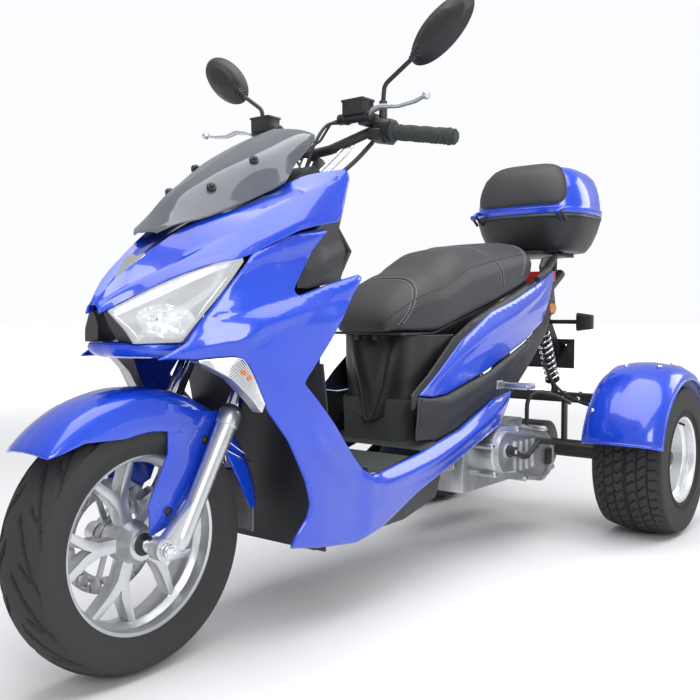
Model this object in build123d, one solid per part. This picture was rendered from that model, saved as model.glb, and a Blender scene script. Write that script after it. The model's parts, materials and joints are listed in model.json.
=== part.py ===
"""Three-wheeled motor scooter (motor trike): one steered front wheel, two wheels on a rear axle.

Millimetres.  +X points forward, +Y to the rider's left, +Z up.  The ground is Z = 0 and the origin lies
under the middle of the machine's length.
"""
import math
import os

from build123d import *

# ---------------------------------------------------------------------------------------------------
# Driving dimensions
# ---------------------------------------------------------------------------------------------------
WHEELBASE = 1650.0
REAR_TRACK = 810.0
FRONT_TYRE_RADIUS = 243.0
FRONT_TYRE_WIDTH = 130.0
FRONT_FLANGE_RADIUS = 178.0
FRONT_BEAD_RADIUS = 165.0
FRONT_RIM_HALF_WIDTH = 51.0
REAR_TYRE_RADIUS = 229.0
REAR_TYRE_WIDTH = 206.0
REAR_FLANGE_RADIUS = 139.0
REAR_BEAD_RADIUS = 127.0
REAR_RIM_HALF_WIDTH = 98.0
REAR_FENDER_CLEARANCE = 61.0

RAKE = 30.0
AXLE_LEAD = 35.0
STEM_OFFSET = 20.0
FORK_HALF_SPREAD = 95.0
STANCHION_RADIUS = 16.0
SLIDER_RADIUS = 22.5
STEM_RADIUS = 15.0
AXLE_RADIUS = 8.0
FRONT_HUB_HALF_LENGTH = 45.0
REAR_AXLE_RADIUS = 12.0

PANEL_WALL = 3.0
PANEL_GAP = 0.5
SEAT_GAP = 0.3
RUNNING_CLEARANCE = 0.05
TUBE_RADIUS = 16.0
RAIL_HALF_SPREAD = 112.0

CASE_HALF_WIDTH = 195.0
CASE_WALL = 4.0
BAR_RADIUS = 11.0
GRIP_RADIUS = 17.0
BAR_HALF_WIDTH = 350.0

# Places that follow from them
REAR_FENDER_RADIUS = REAR_TYRE_RADIUS + REAR_FENDER_CLEARANCE
REAR_AXLE_X = -(WHEELBASE + FRONT_TYRE_RADIUS - REAR_FENDER_RADIUS) / 2
FRONT_AXLE_X = REAR_AXLE_X + WHEELBASE
REAR_WHEEL_Y = REAR_TRACK / 2
SIN_RAKE = math.sin(math.radians(RAKE))
COS_RAKE = math.cos(math.radians(RAKE))
TAN_RAKE = math.tan(math.radians(RAKE))


# ---------------------------------------------------------------------------------------------------
# Stations and form helpers
# ---------------------------------------------------------------------------------------------------
def aft(distance):
    """X of a station that keeps its distance ahead of the rear axle."""
    return REAR_AXLE_X + distance


def fore(distance):
    """X of a station that keeps its distance behind the front axle."""
    return FRONT_AXLE_X - distance


def leg_x(z):
    """X of a fork leg's centre line at height z."""
    return FRONT_AXLE_X - AXLE_LEAD / COS_RAKE - (z - FRONT_TYRE_RADIUS) * TAN_RAKE


def stem_x(z):
    """X of the steering axis at height z."""
    return leg_x(z) - STEM_OFFSET / COS_RAKE


def raked_cylinder(x, y, z, radius, length):
    """A cylinder that starts at a point and runs up along the steering rake."""
    plane = Plane(origin=(x, y, z), z_dir=(-SIN_RAKE, 0, COS_RAKE))
    return extrude(plane * Circle(radius), length)


def tube(points, radius, bends):
    """A round bar along straight runs with a tangent bend at each inner point."""
    path = FilletPolyline(*points, radius=bends) if len(points) > 2 else Line(*points)
    start = Plane(origin=path @ 0, z_dir=path % 0)
    return sweep(start * Circle(radius), path=path)


def side_prism(points, y_low, y_high):
    """A prism from an outline seen from the side, given as (x, z) points."""
    face = Plane.XZ * make_face(Polyline(*points, close=True))
    return extrude(Pos(0, y_high, 0) * face, y_high - y_low)


def cross_cylinder(x, z, y_low, y_high, radius):
    """A cylinder whose axis runs across the machine."""
    plane = Plane(origin=(x, y_low, z), z_dir=(0, 1, 0))
    return extrude(plane * Circle(radius), y_high - y_low)


def block(x_low, x_high, y_low, y_high, z_low, z_high):
    """A box from its low and high limits."""
    size = (x_high - x_low, y_high - y_low, z_high - z_low)
    return Pos(x_low, y_low, z_low) * Box(*size, align=(Align.MIN, Align.MIN, Align.MIN))


def mirrored(shape):
    """The same shape on the machine's other side."""
    return mirror(shape, about=Plane.XZ)


def both_sides(shape):
    """A left-hand shape together with its right-hand twin."""
    return [shape, mirrored(shape)]


def inner_line(points, depth):
    """The line inside an open (y, z) section line, at a depth to the right of its direction."""
    normals = []
    for (y0, z0), (y1, z1) in zip(points, points[1:]):
        length = math.hypot(y1 - y0, z1 - z0)
        normals.append(((z1 - z0) / length, -(y1 - y0) / length))
    moved = []
    for index, (y, z) in enumerate(points):
        before = normals[max(index - 1, 0)]
        after = normals[min(index, len(normals) - 1)]
        mean = (before[0] + after[0], before[1] + after[1])
        reach = 2 * depth / max(mean[0] ** 2 + mean[1] ** 2, 1.0)
        moved.append((y + mean[0] * reach, z + mean[1] * reach))
    if points[0][0] == 0:
        moved[0] = (0, points[0][1] - depth / max(-normals[0][1], 0.5))
    if points[-1][0] == 0:
        moved[-1] = (0, points[-1][1] + depth)
    return moved


def section_line(stations, x):
    """The section line of a lofted panel at station x, between its given stations."""
    ordered = sorted(stations)
    for (x0, line0), (x1, line1) in zip(ordered, ordered[1:]):
        if x0 <= x <= x1:
            share = (x - x0) / (x1 - x0)
            return [(y0 + (y1 - y0) * share, z0 + (z1 - z0) * share)
                    for (y0, z0), (y1, z1) in zip(line0, line1)]
    raise ValueError("station outside the panel")


def skin_height(stations, x, y):
    """Height of a lofted panel's outer face at (x, y)."""
    for (y0, z0), (y1, z1) in zip(section_line(stations, x), section_line(stations, x)[1:]):
        if min(y0, y1) <= y <= max(y0, y1):
            return z0 + (z1 - z0) * (y - y0) / (y1 - y0)
    raise ValueError("point outside the panel")


def skin_side(stations, x, z):
    """Sideways place of a lofted panel's outer face at (x, z)."""
    for (y0, z0), (y1, z1) in zip(section_line(stations, x), section_line(stations, x)[1:]):
        if min(z0, z1) <= z <= max(z0, z1):
            return y0 + (y1 - y0) * (z - z0) / (z1 - z0)
    raise ValueError("point outside the panel")


def section_face(x, points):
    """A flat face across the machine at station x, from its (y, z) corners."""
    return make_face(Polyline(*[(x, y, z) for y, z in points], close=True))


def lofted_shell(stations, wall=PANEL_WALL):
    """A thin panel through open section lines, each given as (x, [(y, z), ...]) from top to bottom."""
    faces = []
    for x, points in stations:
        faces.append(section_face(x, points + inner_line(points, wall)[::-1]))
    return loft(faces, ruled=True)


def lofted_core(stations, depth, centre=0.0, floor=None):
    """The space inside a panel's section lines, down to the centre plane and to a floor if there is one."""
    faces = []
    for x, points in stations:
        line = inner_line(points, depth)
        if floor is not None:
            line = line + [(line[-1][0], floor)]
        corners = line + [(centre, line[-1][1])]
        if line[0][0] > centre + 1:
            corners = [(centre, line[0][1])] + corners
        faces.append(section_face(x, corners))
    return loft(faces, ruled=True)


def line_at(line, distance):
    """The (y, z) place on a lengthwise line of (distance, y, z) points."""
    for (d0, y0, z0), (d1, y1, z1) in zip(line, line[1:]):
        if d0 <= distance <= d1:
            share = (distance - d0) / (d1 - d0)
            return (y0 + (y1 - y0) * share, z0 + (z1 - z0) * share)
    raise ValueError("distance outside the line")


def inset_stations(stations, depth):
    """The same panel's section lines moved inwards by a depth."""
    return [(x, inner_line(points, depth)) for x, points in stations]


def write(name, *shapes):
    """Write one node's solids to its STEP file."""
    solids = []
    for shape in shapes:
        parts = shape if isinstance(shape, (list, tuple)) else [shape]
        for part in parts:
            solids.extend(part.solids())
    os.makedirs("parts", exist_ok=True)
    export_step(Compound(children=solids), f"parts/{name}.step")


def ring_profile(points):
    """Revolve a closed (radius, y) outline about a wheel's axle."""
    face = make_face(Polyline(*[(radius, y, 0) for radius, y in points], close=True))
    return revolve(face, axis=Axis.Y)


# ---------------------------------------------------------------------------------------------------
# Wheels
# ---------------------------------------------------------------------------------------------------
def tyre(radius, width, bead, flange, rim_half_width):
    """A tyre ring that seats on its rim between the flanges."""
    half = width / 2
    side = rim_half_width - 7.5
    seat = bead + SEAT_GAP
    return ring_profile([
        (seat, -side), (flange + 1.5, -side), (flange + 6, -half * 0.9), ((flange + radius) / 2, -half),
        (radius - half * 0.32, -half * 0.93), (radius - half * 0.13, -half * 0.7),
        (radius - half * 0.03, -half * 0.36), (radius, 0), (radius - half * 0.03, half * 0.36),
        (radius - half * 0.13, half * 0.7), (radius - half * 0.32, half * 0.93),
        ((flange + radius) / 2, half), (flange + 6, half * 0.9), (flange + 1.5, side), (seat, side),
    ])


def rim_barrel(bead, flange, rim_half_width, well):
    """A cast rim's barrel: two flanges, bead seats and a drop centre."""
    side = rim_half_width
    return ring_profile([
        (bead - 6, -side + 4), (flange - 3, -side), (flange, -side + 1), (flange, -side + 6),
        (bead, -side + 7), (bead, -side + 26), (bead - well, -side + 36), (bead - well, side - 36),
        (bead, side - 26), (bead, side - 7), (flange, side - 6), (flange, side - 1), (flange - 3, side),
        (bead - 6, side - 4), (bead - 6, side - 28), (bead - well - 5, side - 38),
        (bead - well - 5, -side + 38), (bead - 6, -side + 28),
    ])


def front_rim():
    """The cast front wheel: five spokes that fork towards the barrel."""
    well = 12.0
    barrel = rim_barrel(FRONT_BEAD_RADIUS, FRONT_FLANGE_RADIUS, FRONT_RIM_HALF_WIDTH, well)
    inner = FRONT_BEAD_RADIUS - well - 3
    spoke_count = 5
    pitch = 360 / spoke_count
    prong_angle = 17.0
    hub = ring_profile([
        (AXLE_RADIUS + RUNNING_CLEARANCE, -FRONT_HUB_HALF_LENGTH), (30, -FRONT_HUB_HALF_LENGTH),
        (36, -26), (40, -14), (40, 14), (36, 26), (30, FRONT_HUB_HALF_LENGTH),
        (AXLE_RADIUS + RUNNING_CLEARANCE, FRONT_HUB_HALF_LENGTH),
    ])
    wheel = barrel + hub
    for index in range(spoke_count):
        for side in (-1, 1):
            tip = math.radians(side * prong_angle)
            tip_x, tip_z = inner * math.cos(tip), inner * math.sin(tip)
            prong = side_prism([
                (30, -12 * side), (30, 12 * side), (74, 13 * side), (100, 24 * side),
                (tip_x + 2 * math.sin(tip), tip_z + 7 * side), (tip_x, tip_z - 9 * side),
                (104, 6 * side), (84, -2 * side),
            ], -15, 15)
            wheel += Rot(0, index * pitch, 0) * prong
    bore = cross_cylinder(0, 0, -60, 60, AXLE_RADIUS + RUNNING_CLEARANCE)
    return Pos(FRONT_AXLE_X, 0, FRONT_TYRE_RADIUS) * (wheel - bore)


def rear_rim(side):
    """A polished deep-dish rear rim with a bolted centre."""
    well = 10.0
    barrel = rim_barrel(REAR_BEAD_RADIUS, REAR_FLANGE_RADIUS, REAR_RIM_HALF_WIDTH, well)
    inner = REAR_BEAD_RADIUS - well - 3
    bore = REAR_AXLE_RADIUS + RUNNING_CLEARANCE
    disc = ring_profile([
        (bore, -18), (44, -18), (60, -4), (inner, -14), (inner, -6), (62, 4), (48, 10), (34, 10), (30, 26),
        (bore, 26),
    ])
    window = cross_cylinder(84, 0, -40, 40, 13)
    wheel = barrel + disc
    for index in range(8):
        wheel -= Rot(0, index * 45, 0) * window
    if side < 0:
        wheel = mirrored(wheel)
    return Pos(REAR_AXLE_X, side * REAR_WHEEL_Y, REAR_TYRE_RADIUS) * wheel


def brake_disc():
    """The drilled front disc on the wheel's right-hand side."""
    disc = ring_profile([(78, -60), (110, -60), (110, -56), (78, -56)])
    carrier = ring_profile([(24, -56), (34, -56), (34, -FRONT_HUB_HALF_LENGTH - SEAT_GAP),
                            (24, -FRONT_HUB_HALF_LENGTH - SEAT_GAP)])
    disc += carrier
    for index in range(5):
        arm = block(30, 82, -60, -56, -6, 6)
        disc += Rot(0, index * 72, 0) * arm
    hole = cross_cylinder(94, 0, -70, -50, 3)
    for index in range(18):
        disc -= Rot(0, index * 20, 0) * hole
    return Pos(FRONT_AXLE_X, 0, FRONT_TYRE_RADIUS) * disc


# ---------------------------------------------------------------------------------------------------
# Fork and handlebar
# ---------------------------------------------------------------------------------------------------
SLIDER_TOP_Z = 478.0
BRIDGE_Z = 578.0
BRIDGE_THICKNESS = 26.0
HEAD_BOTTOM_Z = 600.0
HEAD_LENGTH = 195.0
STEM_TOP_Z = 1012.0
LUG_INNER_Y = 82.0
LUG_OUTER_Y = 108.0


def fork_sliders():
    """The cast lower legs: a stepped collar on top, a waist below it and a flat axle lug at the foot."""
    leg_length = (SLIDER_TOP_Z - FRONT_TYRE_RADIUS + 8) / COS_RAKE
    foot_z = FRONT_TYRE_RADIUS - 8
    legs = []
    for side in (1, -1):
        y = side * FORK_HALF_SPREAD
        foot = Plane(origin=(leg_x(foot_z), y, foot_z), z_dir=(-SIN_RAKE, 0, COS_RAKE))
        leg = revolve(foot * make_face(Plane.XZ * Polyline(
            (0, 0), (14, 0), (18, 16), (18.5, leg_length - 118), (SLIDER_RADIUS - 2, leg_length - 62),
            (SLIDER_RADIUS - 2, leg_length - 34), (SLIDER_RADIUS, leg_length - 32),
            (SLIDER_RADIUS, leg_length - 6), (SLIDER_RADIUS - 3, leg_length),
            (0, leg_length), close=True)), axis=Axis(origin=foot.origin, direction=foot.z_dir))
        low, high = sorted((side * LUG_INNER_Y, side * LUG_OUTER_Y))
        lug = cross_cylinder(FRONT_AXLE_X, FRONT_TYRE_RADIUS, low, high, 21)
        web = side_prism([
            (FRONT_AXLE_X - 4, FRONT_TYRE_RADIUS + 20), (leg_x(330) + 10, 330), (leg_x(330) - 6, 322),
            (leg_x(240) - 8, 236), (FRONT_AXLE_X - 6, FRONT_TYRE_RADIUS - 20)], low + 3, high - 3)
        bore = cross_cylinder(FRONT_AXLE_X, FRONT_TYRE_RADIUS, low - 5, high + 5,
                              AXLE_RADIUS + RUNNING_CLEARANCE)
        stanchion_seat = raked_cylinder(leg_x(330), y, 330, STANCHION_RADIUS + SEAT_GAP, 400)
        legs.append(leg + lug + web - bore - stanchion_seat)
    return legs


def fork_stanchions():
    """The polished upper tubes, the lower bridge that holds them and the steering stem."""
    start_z = 345.0
    top_z = BRIDGE_Z + BRIDGE_THICKNESS
    length = (top_z - start_z) / COS_RAKE
    body = raked_cylinder(stem_x(BRIDGE_Z), 0, BRIDGE_Z, STEM_RADIUS, (STEM_TOP_Z - BRIDGE_Z) / COS_RAKE)
    for y in (FORK_HALF_SPREAD, -FORK_HALF_SPREAD):
        body += raked_cylinder(leg_x(start_z), y, start_z, STANCHION_RADIUS, length)
        body += raked_cylinder(leg_x(BRIDGE_Z - 12), y, BRIDGE_Z - 12, STANCHION_RADIUS + 8, 30)
    plane = Plane(origin=(stem_x(BRIDGE_Z), 0, BRIDGE_Z), x_dir=(COS_RAKE, 0, SIN_RAKE),
                  z_dir=(-SIN_RAKE, 0, COS_RAKE))
    spread = FORK_HALF_SPREAD
    bridge = extrude(plane * make_face(Polyline(
        (-24, -26), (-24, 26), (STEM_OFFSET - 20, spread + 8), (STEM_OFFSET + 16, spread + 8),
        (34, 30), (34, -30), (STEM_OFFSET + 16, -spread - 8), (STEM_OFFSET - 20, -spread - 8), close=True)),
        BRIDGE_THICKNESS * 0.6)
    return body + bridge


def front_axle():
    """The front wheel spindle with its nut, collars and speedometer drive side spacer."""
    x, z = FRONT_AXLE_X, FRONT_TYRE_RADIUS
    axle = cross_cylinder(x, z, -LUG_OUTER_Y - 14, LUG_OUTER_Y + 14, AXLE_RADIUS)
    for side in (-1, 1):
        inner, outer = FRONT_HUB_HALF_LENGTH + SEAT_GAP, LUG_INNER_Y - SEAT_GAP
        low, high = sorted((side * inner, side * outer))
        axle += cross_cylinder(x, z, low, high, 13)
        low, high = sorted((side * (LUG_OUTER_Y + SEAT_GAP), side * (LUG_OUTER_Y + 11)))
        axle += cross_cylinder(x, z, low, high, 13)
    return axle


FENDER_FRONT_CLEARANCE = 39.0
FENDER_TIP_ANGLE = 42.0
FENDER_SWEEP = 132.0


def fender_arc(section, wall, start, sweep):
    """A crowned arc over the front tyre, from its (y, height) section, between two angles."""
    inner = FRONT_TYRE_RADIUS + FENDER_FRONT_CLEARANCE
    outer_line = [(inner + height, y) for y, height in section]
    inner_side = [(inner + height - wall, y * (1 - wall / 75)) for y, height in section]
    profile = make_face(Polyline(*[(r, y, 0) for r, y in outer_line + inner_side[::-1]], close=True))
    arc = revolve(Rot(0, -start, 0) * profile, axis=Axis((0, 0, 0), (0, -1, 0)), revolution_arc=sweep)
    return Pos(FRONT_AXLE_X, 0, FRONT_TYRE_RADIUS) * arc


def front_fender():
    """The front mudguard: a crowned arc over the tyre with a leg bracket that tapers down each fork leg."""
    section = [(-74, -70), (-71.8, -34), (-69, -16), (-59, -2), (-34, 4), (0, 6),
               (34, 4), (59, -2), (69, -16), (71.8, -34), (74, -70)]
    x, z = FRONT_AXLE_X, FRONT_TYRE_RADIUS
    kept = [(320, 400), (320, 170), (214, 182), (140, 205), (-38, 202), (-150, 203), (-251, 26),
            (-254, -40), (-400, -40), (-400, 400)]
    guard = fender_arc(section, 3.5, FENDER_TIP_ANGLE, FENDER_SWEEP)
    guard &= side_prism([(x + dx, z + dz) for dx, dz in kept], -90, 90)
    top = [(-148, 159), (-156, 200), (-182, 214), (-180, 232), (-110, 238), (-70, 251), (-36, 258),
           (-36, 166), (-17, 128), (9, 78)]
    left_foot = [(6, 20), (-37, 31), (-125, 130)]
    right_foot = [(2, 64), (-52, 70), (-108, 92), (-125, 130)]
    for side, foot in ((1, left_foot), (-1, right_foot)):
        bracket = top + foot
        low, high = sorted((side * 68.7, side * (FORK_HALF_SPREAD - SLIDER_RADIUS - SEAT_GAP)))
        guard += side_prism([(x + dx, z + dz) for dx, dz in bracket], low, high)
    return guard


def fender_flap():
    """The soft flap inside the rear end of the front mudguard."""
    section = [(-54, -5.3), (-32, 0.1), (0, 2.1), (32, 0.1), (54, -5.3)]
    return fender_arc(section, 3.0, FENDER_TIP_ANGLE + FENDER_SWEEP - 14, 26)


def brake_caliper():
    """The two-piston caliper behind the right-hand leg, gripping the disc."""
    angle = 158
    outer_y = -(FORK_HALF_SPREAD - SLIDER_RADIUS) + 0.7
    body = block(74, 124, outer_y, -40, -34, 34) - block(60, 110.8, -60.8, -55.2, -60, 60)
    body = Rot(0, -angle, 0) * body
    body = Pos(FRONT_AXLE_X, 0, FRONT_TYRE_RADIUS) * body
    return body


def handlebar():
    """The swept tube bar in its clamp on top of the stem."""
    x, z = stem_x(STEM_TOP_Z), STEM_TOP_Z
    clamp = raked_cylinder(x, 0, z - 46, 24, 60)
    clamp -= raked_cylinder(stem_x(z - 80), 0, z - 80, STEM_RADIUS + RUNNING_CLEARANCE, 92.8)
    left = tube([(x - 6, 0, z + 18), (x - 8, 62, z + 22), (x - 52, 150, z + 62), (x - 72, BAR_HALF_WIDTH, z + 26)],
                BAR_RADIUS, [40, 40])
    return clamp + left + mirrored(left)


SWITCH_START = 12.0
SWITCH_LENGTH = 36.0
GRIP_START = SWITCH_START + SWITCH_LENGTH + PANEL_GAP


def handlebar_grips():
    """The rubber grips on the bar's two ends."""
    grips = []
    end = bar_point(1.0)
    inner = bar_point(0.0)
    direction = (end - inner).normalized()
    plane = Plane(origin=inner + direction * GRIP_START, z_dir=direction)
    length = (end - inner).length - GRIP_START
    sleeve = extrude(plane * Circle(GRIP_RADIUS), length + 4)
    sleeve += extrude(plane * Circle(GRIP_RADIUS + 6), 6)
    sleeve -= extrude(plane * Circle(BAR_RADIUS + SEAT_GAP), length + 0.5)
    grips.extend(both_sides(sleeve))
    return grips


def bar_point(fraction):
    """A point on the straight outer stretch of the left bar, from 0 at its bend to 1 at its end."""
    x, z = stem_x(STEM_TOP_Z), STEM_TOP_Z
    start, end = Vector(x - 52, 150, z + 62), Vector(x - 72, BAR_HALF_WIDTH, z + 26)
    return start + (end - start) * fraction


def on_bar(fraction):
    """A plane across the left bar at a fraction of its straight stretch, its normal outwards."""
    direction = (bar_point(1) - bar_point(0)).normalized()
    return Plane(origin=bar_point(fraction), x_dir=(1, 0, 0), z_dir=direction)


def switch_housings():
    """The switch blocks beside the grips, each with a master cylinder, its reservoir and a mirror boss."""
    plane = on_bar(0).offset(SWITCH_START)
    housing = extrude(plane * Pos(0, 0) * RectangleRounded(46, 54, 12), SWITCH_LENGTH)
    housing += extrude(plane.offset(4) * Pos(26, 12) * RectangleRounded(40, 26, 6), 26)
    cylinder_start = bar_point(0.02) + Vector(44, -64, 24)
    cylinder_plane = Plane(origin=cylinder_start, z_dir=(0, 1, 0))
    housing += extrude(cylinder_plane * Circle(12), 84)
    housing += extrude(cylinder_plane.offset(18) * Pos(0, 0) * Circle(14), 6)
    housing += Pos(*(bar_point(0.02) + Vector(44, -14, 42))) * Box(40, 56, 30)
    housing += Pos(*(bar_point(0.02) + Vector(44, -14, 58))) * Box(44, 60, 5)
    housing += Pos(*(bar_point(0.02) + Vector(22, 0, 20))) * Box(44, 26, 26)
    boss = bar_point(0.16) + Vector(10, 0, 20)
    housing += Pos(*boss) * Cylinder(9, 44, align=(Align.CENTER, Align.CENTER, Align.MIN))
    housing -= extrude(on_bar(-0.2) * Circle(BAR_RADIUS + SEAT_GAP), 140)
    return both_sides(housing)


def brake_levers():
    """The two hand levers: flat blades that curve out ahead of the grips and end in a ball."""
    root = bar_point(0.02) + Vector(44, 20.4, 24)
    places = [(0, 0, 0, 9), (12, 16, 6, 8), (20, 44, 8, 7), (14, 84, 4, 6), (12, 124, 8, 5.5), (16, 152, 14, 5)]
    rings = []
    for dx, dy, dz, half in places:
        plane = Plane(origin=root + Vector(dx, dy, dz), x_dir=(1, 0, 0), z_dir=(0, 1, 0))
        rings.append(plane * RectangleRounded(half * 2, half * 1.3, half * 0.5))
    lever = loft(rings, ruled=True)
    tip = root + Vector(17, 156, 15)
    lever += Pos(*tip) * Sphere(9)
    return both_sides(lever)


def mirrors():
    """The two rear-view mirrors: a bent stem from the boss, a ribbed boot and a leaf-shaped shell."""
    foot = bar_point(0.16) + Vector(10, 0, 64.3)
    neck = Vector(foot.X - 4, 262, foot.Z + 84)
    stem = tube([tuple(foot), tuple(foot + Vector(1, 4, 34)), tuple(neck)], 5, [24])
    direction = (Vector(foot.X - 6, 312, foot.Z + 132) - neck).normalized()
    boot = Plane(origin=neck - direction * 10, z_dir=direction)
    for index, radius in enumerate((9, 11, 12, 13, 14)):
        stem += extrude(boot.offset(index * 7) * Circle(radius), 5)
    stem += extrude(boot * Circle(8), 40)
    centre = (foot.X - 18, 324, foot.Z + 130)
    plane = Plane(origin=centre, x_dir=(0, 0.8, 0.6), z_dir=(1, 0, 0))
    shell = loft([plane * Ellipse(86, 42), plane.offset(5) * Ellipse(92, 46),
                  plane.offset(20) * Ellipse(74, 36), plane.offset(30) * Ellipse(44, 18)], ruled=True)
    return both_sides(stem + shell)


def control_cables():
    """The brake and throttle lines that loop forward from the bar to a clip on the stem."""
    start = bar_point(0.02) + Vector(44, -64.3, 24)
    clip_z = STEM_TOP_Z - 18
    clip = Vector(stem_x(clip_z) + 28, 10, clip_z + 6)
    line = tube([tuple(start), (start.X + 4, start.Y - 22, start.Z - 4), (start.X + 20, start.Y - 40, start.Z - 44),
                 (clip.X + 30, clip.Y + 14, clip.Z + 10), tuple(clip)], 3, [10, 20, 10])
    return both_sides(line)


# ---------------------------------------------------------------------------------------------------
# Front bodywork
# ---------------------------------------------------------------------------------------------------
DASH_HALF_WIDTH = 111.5


def fairing_stations():
    """Section lines of the leg fairing and floor skirt, from the nose back to the tail."""
    return [
        (fore(-60), [(80, 760), (84, 720), (90, 680), (98, 640), (104, 600), (104, 580), (100, 540)]),
        (fore(50), [(112, 800), (116, 740), (118, 700), (130, 640), (132, 600), (128, 570), (120, 520)]),
        (fore(150), [(158, 820), (163, 765), (168, 715), (188, 640), (190, 590), (184, 520), (176, 440)]),
        (fore(260), [(186, 860), (181, 770), (190, 702), (207, 650), (205, 540), (196, 360), (172, 165)]),
        (fore(350), [(200, 880), (193, 770), (201, 705), (215, 655), (209, 520), (200, 330), (184, 165)]),
        (fore(436), [(204, 880), (205, 800), (215, 748), (215, 700), (205, 500), (199, 330), (186, 160)]),
        (fore(500), [(196, 420), (197, 380), (198, 350), (198, 318), (200, 290), (198, 240), (188, 160)]),
        (fore(538), [(190, 321), (192, 314), (196, 300), (200, 285), (199, 262), (196, 235), (188, 165)]),
        (aft(942), [(180, 340), (184, 331), (190, 318), (194, 302), (192, 285), (188, 262), (182, 225)]),
        (aft(751), [(172, 376), (177, 366), (182, 354), (185, 342), (184, 330), (181, 312), (177, 280)]),
        (aft(562), [(160, 438), (166, 428), (170, 414), (172, 400), (171, 385), (169, 368), (166, 330)]),
        (aft(428), [(150, 460), (154, 452), (157, 444), (158, 436), (158, 428), (157, 416), (154, 395)]),
    ]


def fairing_outline():
    """The fairing seen from the side: spike, headlamp edge, notch, blade, waist, floor edge and skirt."""
    return [
        (fore(-24), 584), (fore(34), 613), (fore(151), 764)] + [
        (fore(distance), z) for distance, z in NOSE_SEAM[4:]] + [
        (fore(350), 838), (fore(259), 713), (fore(266), 702), (fore(300), 712), (fore(423), 748),
        (fore(436), 743), (fore(374), 653), (fore(290), 554), (fore(269), 531), (fore(297), 506),
        (fore(360), 444), (fore(429), 368), (fore(465), 333), (fore(495), 318), (fore(538), 317),
        (aft(942), 336), (aft(751), 371), (aft(562), 432), (aft(433), 450), (aft(512), 357),
        (aft(700), 310), (aft(949), 245), (fore(544), 189), (fore(457), 173), (fore(337), 187),
        (fore(257), 201), (fore(269), 227), (fore(292), 258), (fore(298), 285), (fore(279), 336),
        (fore(230), 420), (fore(180), 482), (fore(175), 495), (fore(136), 570), (fore(115), 587),
        (fore(54), 581), (fore(13), 584),
    ]


def front_fairing():
    """The left leg fairing: a creased panel trimmed to its outline."""
    shell = lofted_shell(fairing_stations())
    return shell & side_prism(fairing_outline(), 40, 260)


def inner_space(depth=PANEL_WALL + PANEL_GAP):
    """The space between the two leg fairings and skirts."""
    left = lofted_core(fairing_stations(), depth)
    return left + mirrored(left)


NOSE_CENTRE = ((-74, 0, 682), (-24, 0, 727), (30, 0, 775), (75, 0, 803), (160, 0, 848), (250, 0, 888), (432, 0, 955))
NOSE_CREST = ((-74, 6, 683), (-46, 17, 720), (20, 36, 775), (76, 48, 817), (114, 66, 838), (201, 92, 873),
              (250, 104, 896), (298, 116, 918), (324, 137, 941), (364, 160, 955), (432, 187, 969))
NOSE_CREASE = ((-74, 11, 681), (-62, 15, 690), (-17, 32, 719), (30, 52, 744), (90, 80, 781), (145, 115, 815),
               (191, 143, 847), (265, 165, 890), (398, 187, 941), (432, 191, 948))
NOSE_BROW = ((-74, 15, 677), (-60, 20, 685), (22, 58, 732), (63, 86, 752), (111, 121, 773), (147, 151, 784),
             (200, 177, 809), (234, 188, 826), (268, 194, 840), (350, 203, 861), (432, 207, 884))
NOSE_EDGE = ((-74, 20, 666), (-60, 23, 671), (16, 64, 716), (56, 93, 738), (103, 129, 759), (137, 152, 768),
             (158, 161, 775), (200, 178, 798), (234, 188, 814), (268, 193, 828), (350, 203, 848), (432, 208, 860))
NOSE_SECTIONS = (-74, -60, -17, 30, 76, 114, 150, 201, 250, 298, 324, 364, 398, 432)
NOSE_SEAM = ((-61.5, 671.0), (16, 716.5), (56, 738.5), (103, 759.5), (158, 775.0), (173, 786.5), (234, 817.0),
             (350, 855.0))


def nose_stations():
    """Section lines of the hood and wings: valley, crest, crease, brow and lower edge at each station."""
    lines = (NOSE_CENTRE, NOSE_CREST, NOSE_CREASE, NOSE_BROW, NOSE_EDGE)
    return [(fore(distance), [line_at(line, distance) for line in lines]) for distance in NOSE_SECTIONS]


def nose_outline():
    """The nose cowl seen from the side, above the seam with the headlamps and the fairings."""
    seam = [(fore(distance), z + PANEL_GAP) for distance, z in NOSE_SEAM]
    return [(fore(-78), 664)] + seam + [(fore(378), 876), (fore(426), 941), (fore(422), 985), (fore(300), 995),
                                        (fore(0), 900), (fore(-78), 760)]


def nose_cowl():
    """The hood and its two wings, with the steering opening behind the screen and the screen's four posts."""
    left = lofted_shell(nose_stations()) & side_prism(nose_outline(), -5, 260)
    opening = side_prism([(fore(500), 1100), (fore(500), 700), (fore(318), 800), (fore(296), 1100)], -5, 112)
    left -= opening
    under_screen = lofted_core(windscreen_stations(), PANEL_WALL + SEAT_GAP, floor=700)
    for distance, y in SCREEN_SCREWS:
        foot = skin_height(nose_stations(), fore(distance), y) - PANEL_WALL
        pillar = Pos(fore(distance), y, foot) * post(120)
        left += pillar & under_screen
    return left + mirrored(left)


SCREEN_SCREWS = ((156, 62), (247, 87))


def windscreen_stations():
    """Section lines of the smoked screen: spine, shoulder curve and side edge at each station."""
    return [
        (fore(36), [(0, 819), (9, 818), (17, 816), (24, 810)]),
        (fore(69), [(0, 848), (22, 846), (42, 841), (60, 833)]),
        (fore(114), [(0, 900), (28, 894), (53, 876), (77, 845)]),
        (fore(166), [(0, 938), (38, 930), (67, 908), (91, 865)]),
        (fore(247), [(0, 990), (52, 983), (90, 966), (113, 903)]),
        (fore(308), [(0, 1027), (55, 1018), (97, 1000), (126, 936)]),
        (fore(397), [(0, 1070), (54, 1062), (92, 1044), (118, 992)]),
        (fore(430), [(0, 1082), (50, 1074), (86, 1055), (110, 1026)]),
    ]


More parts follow.
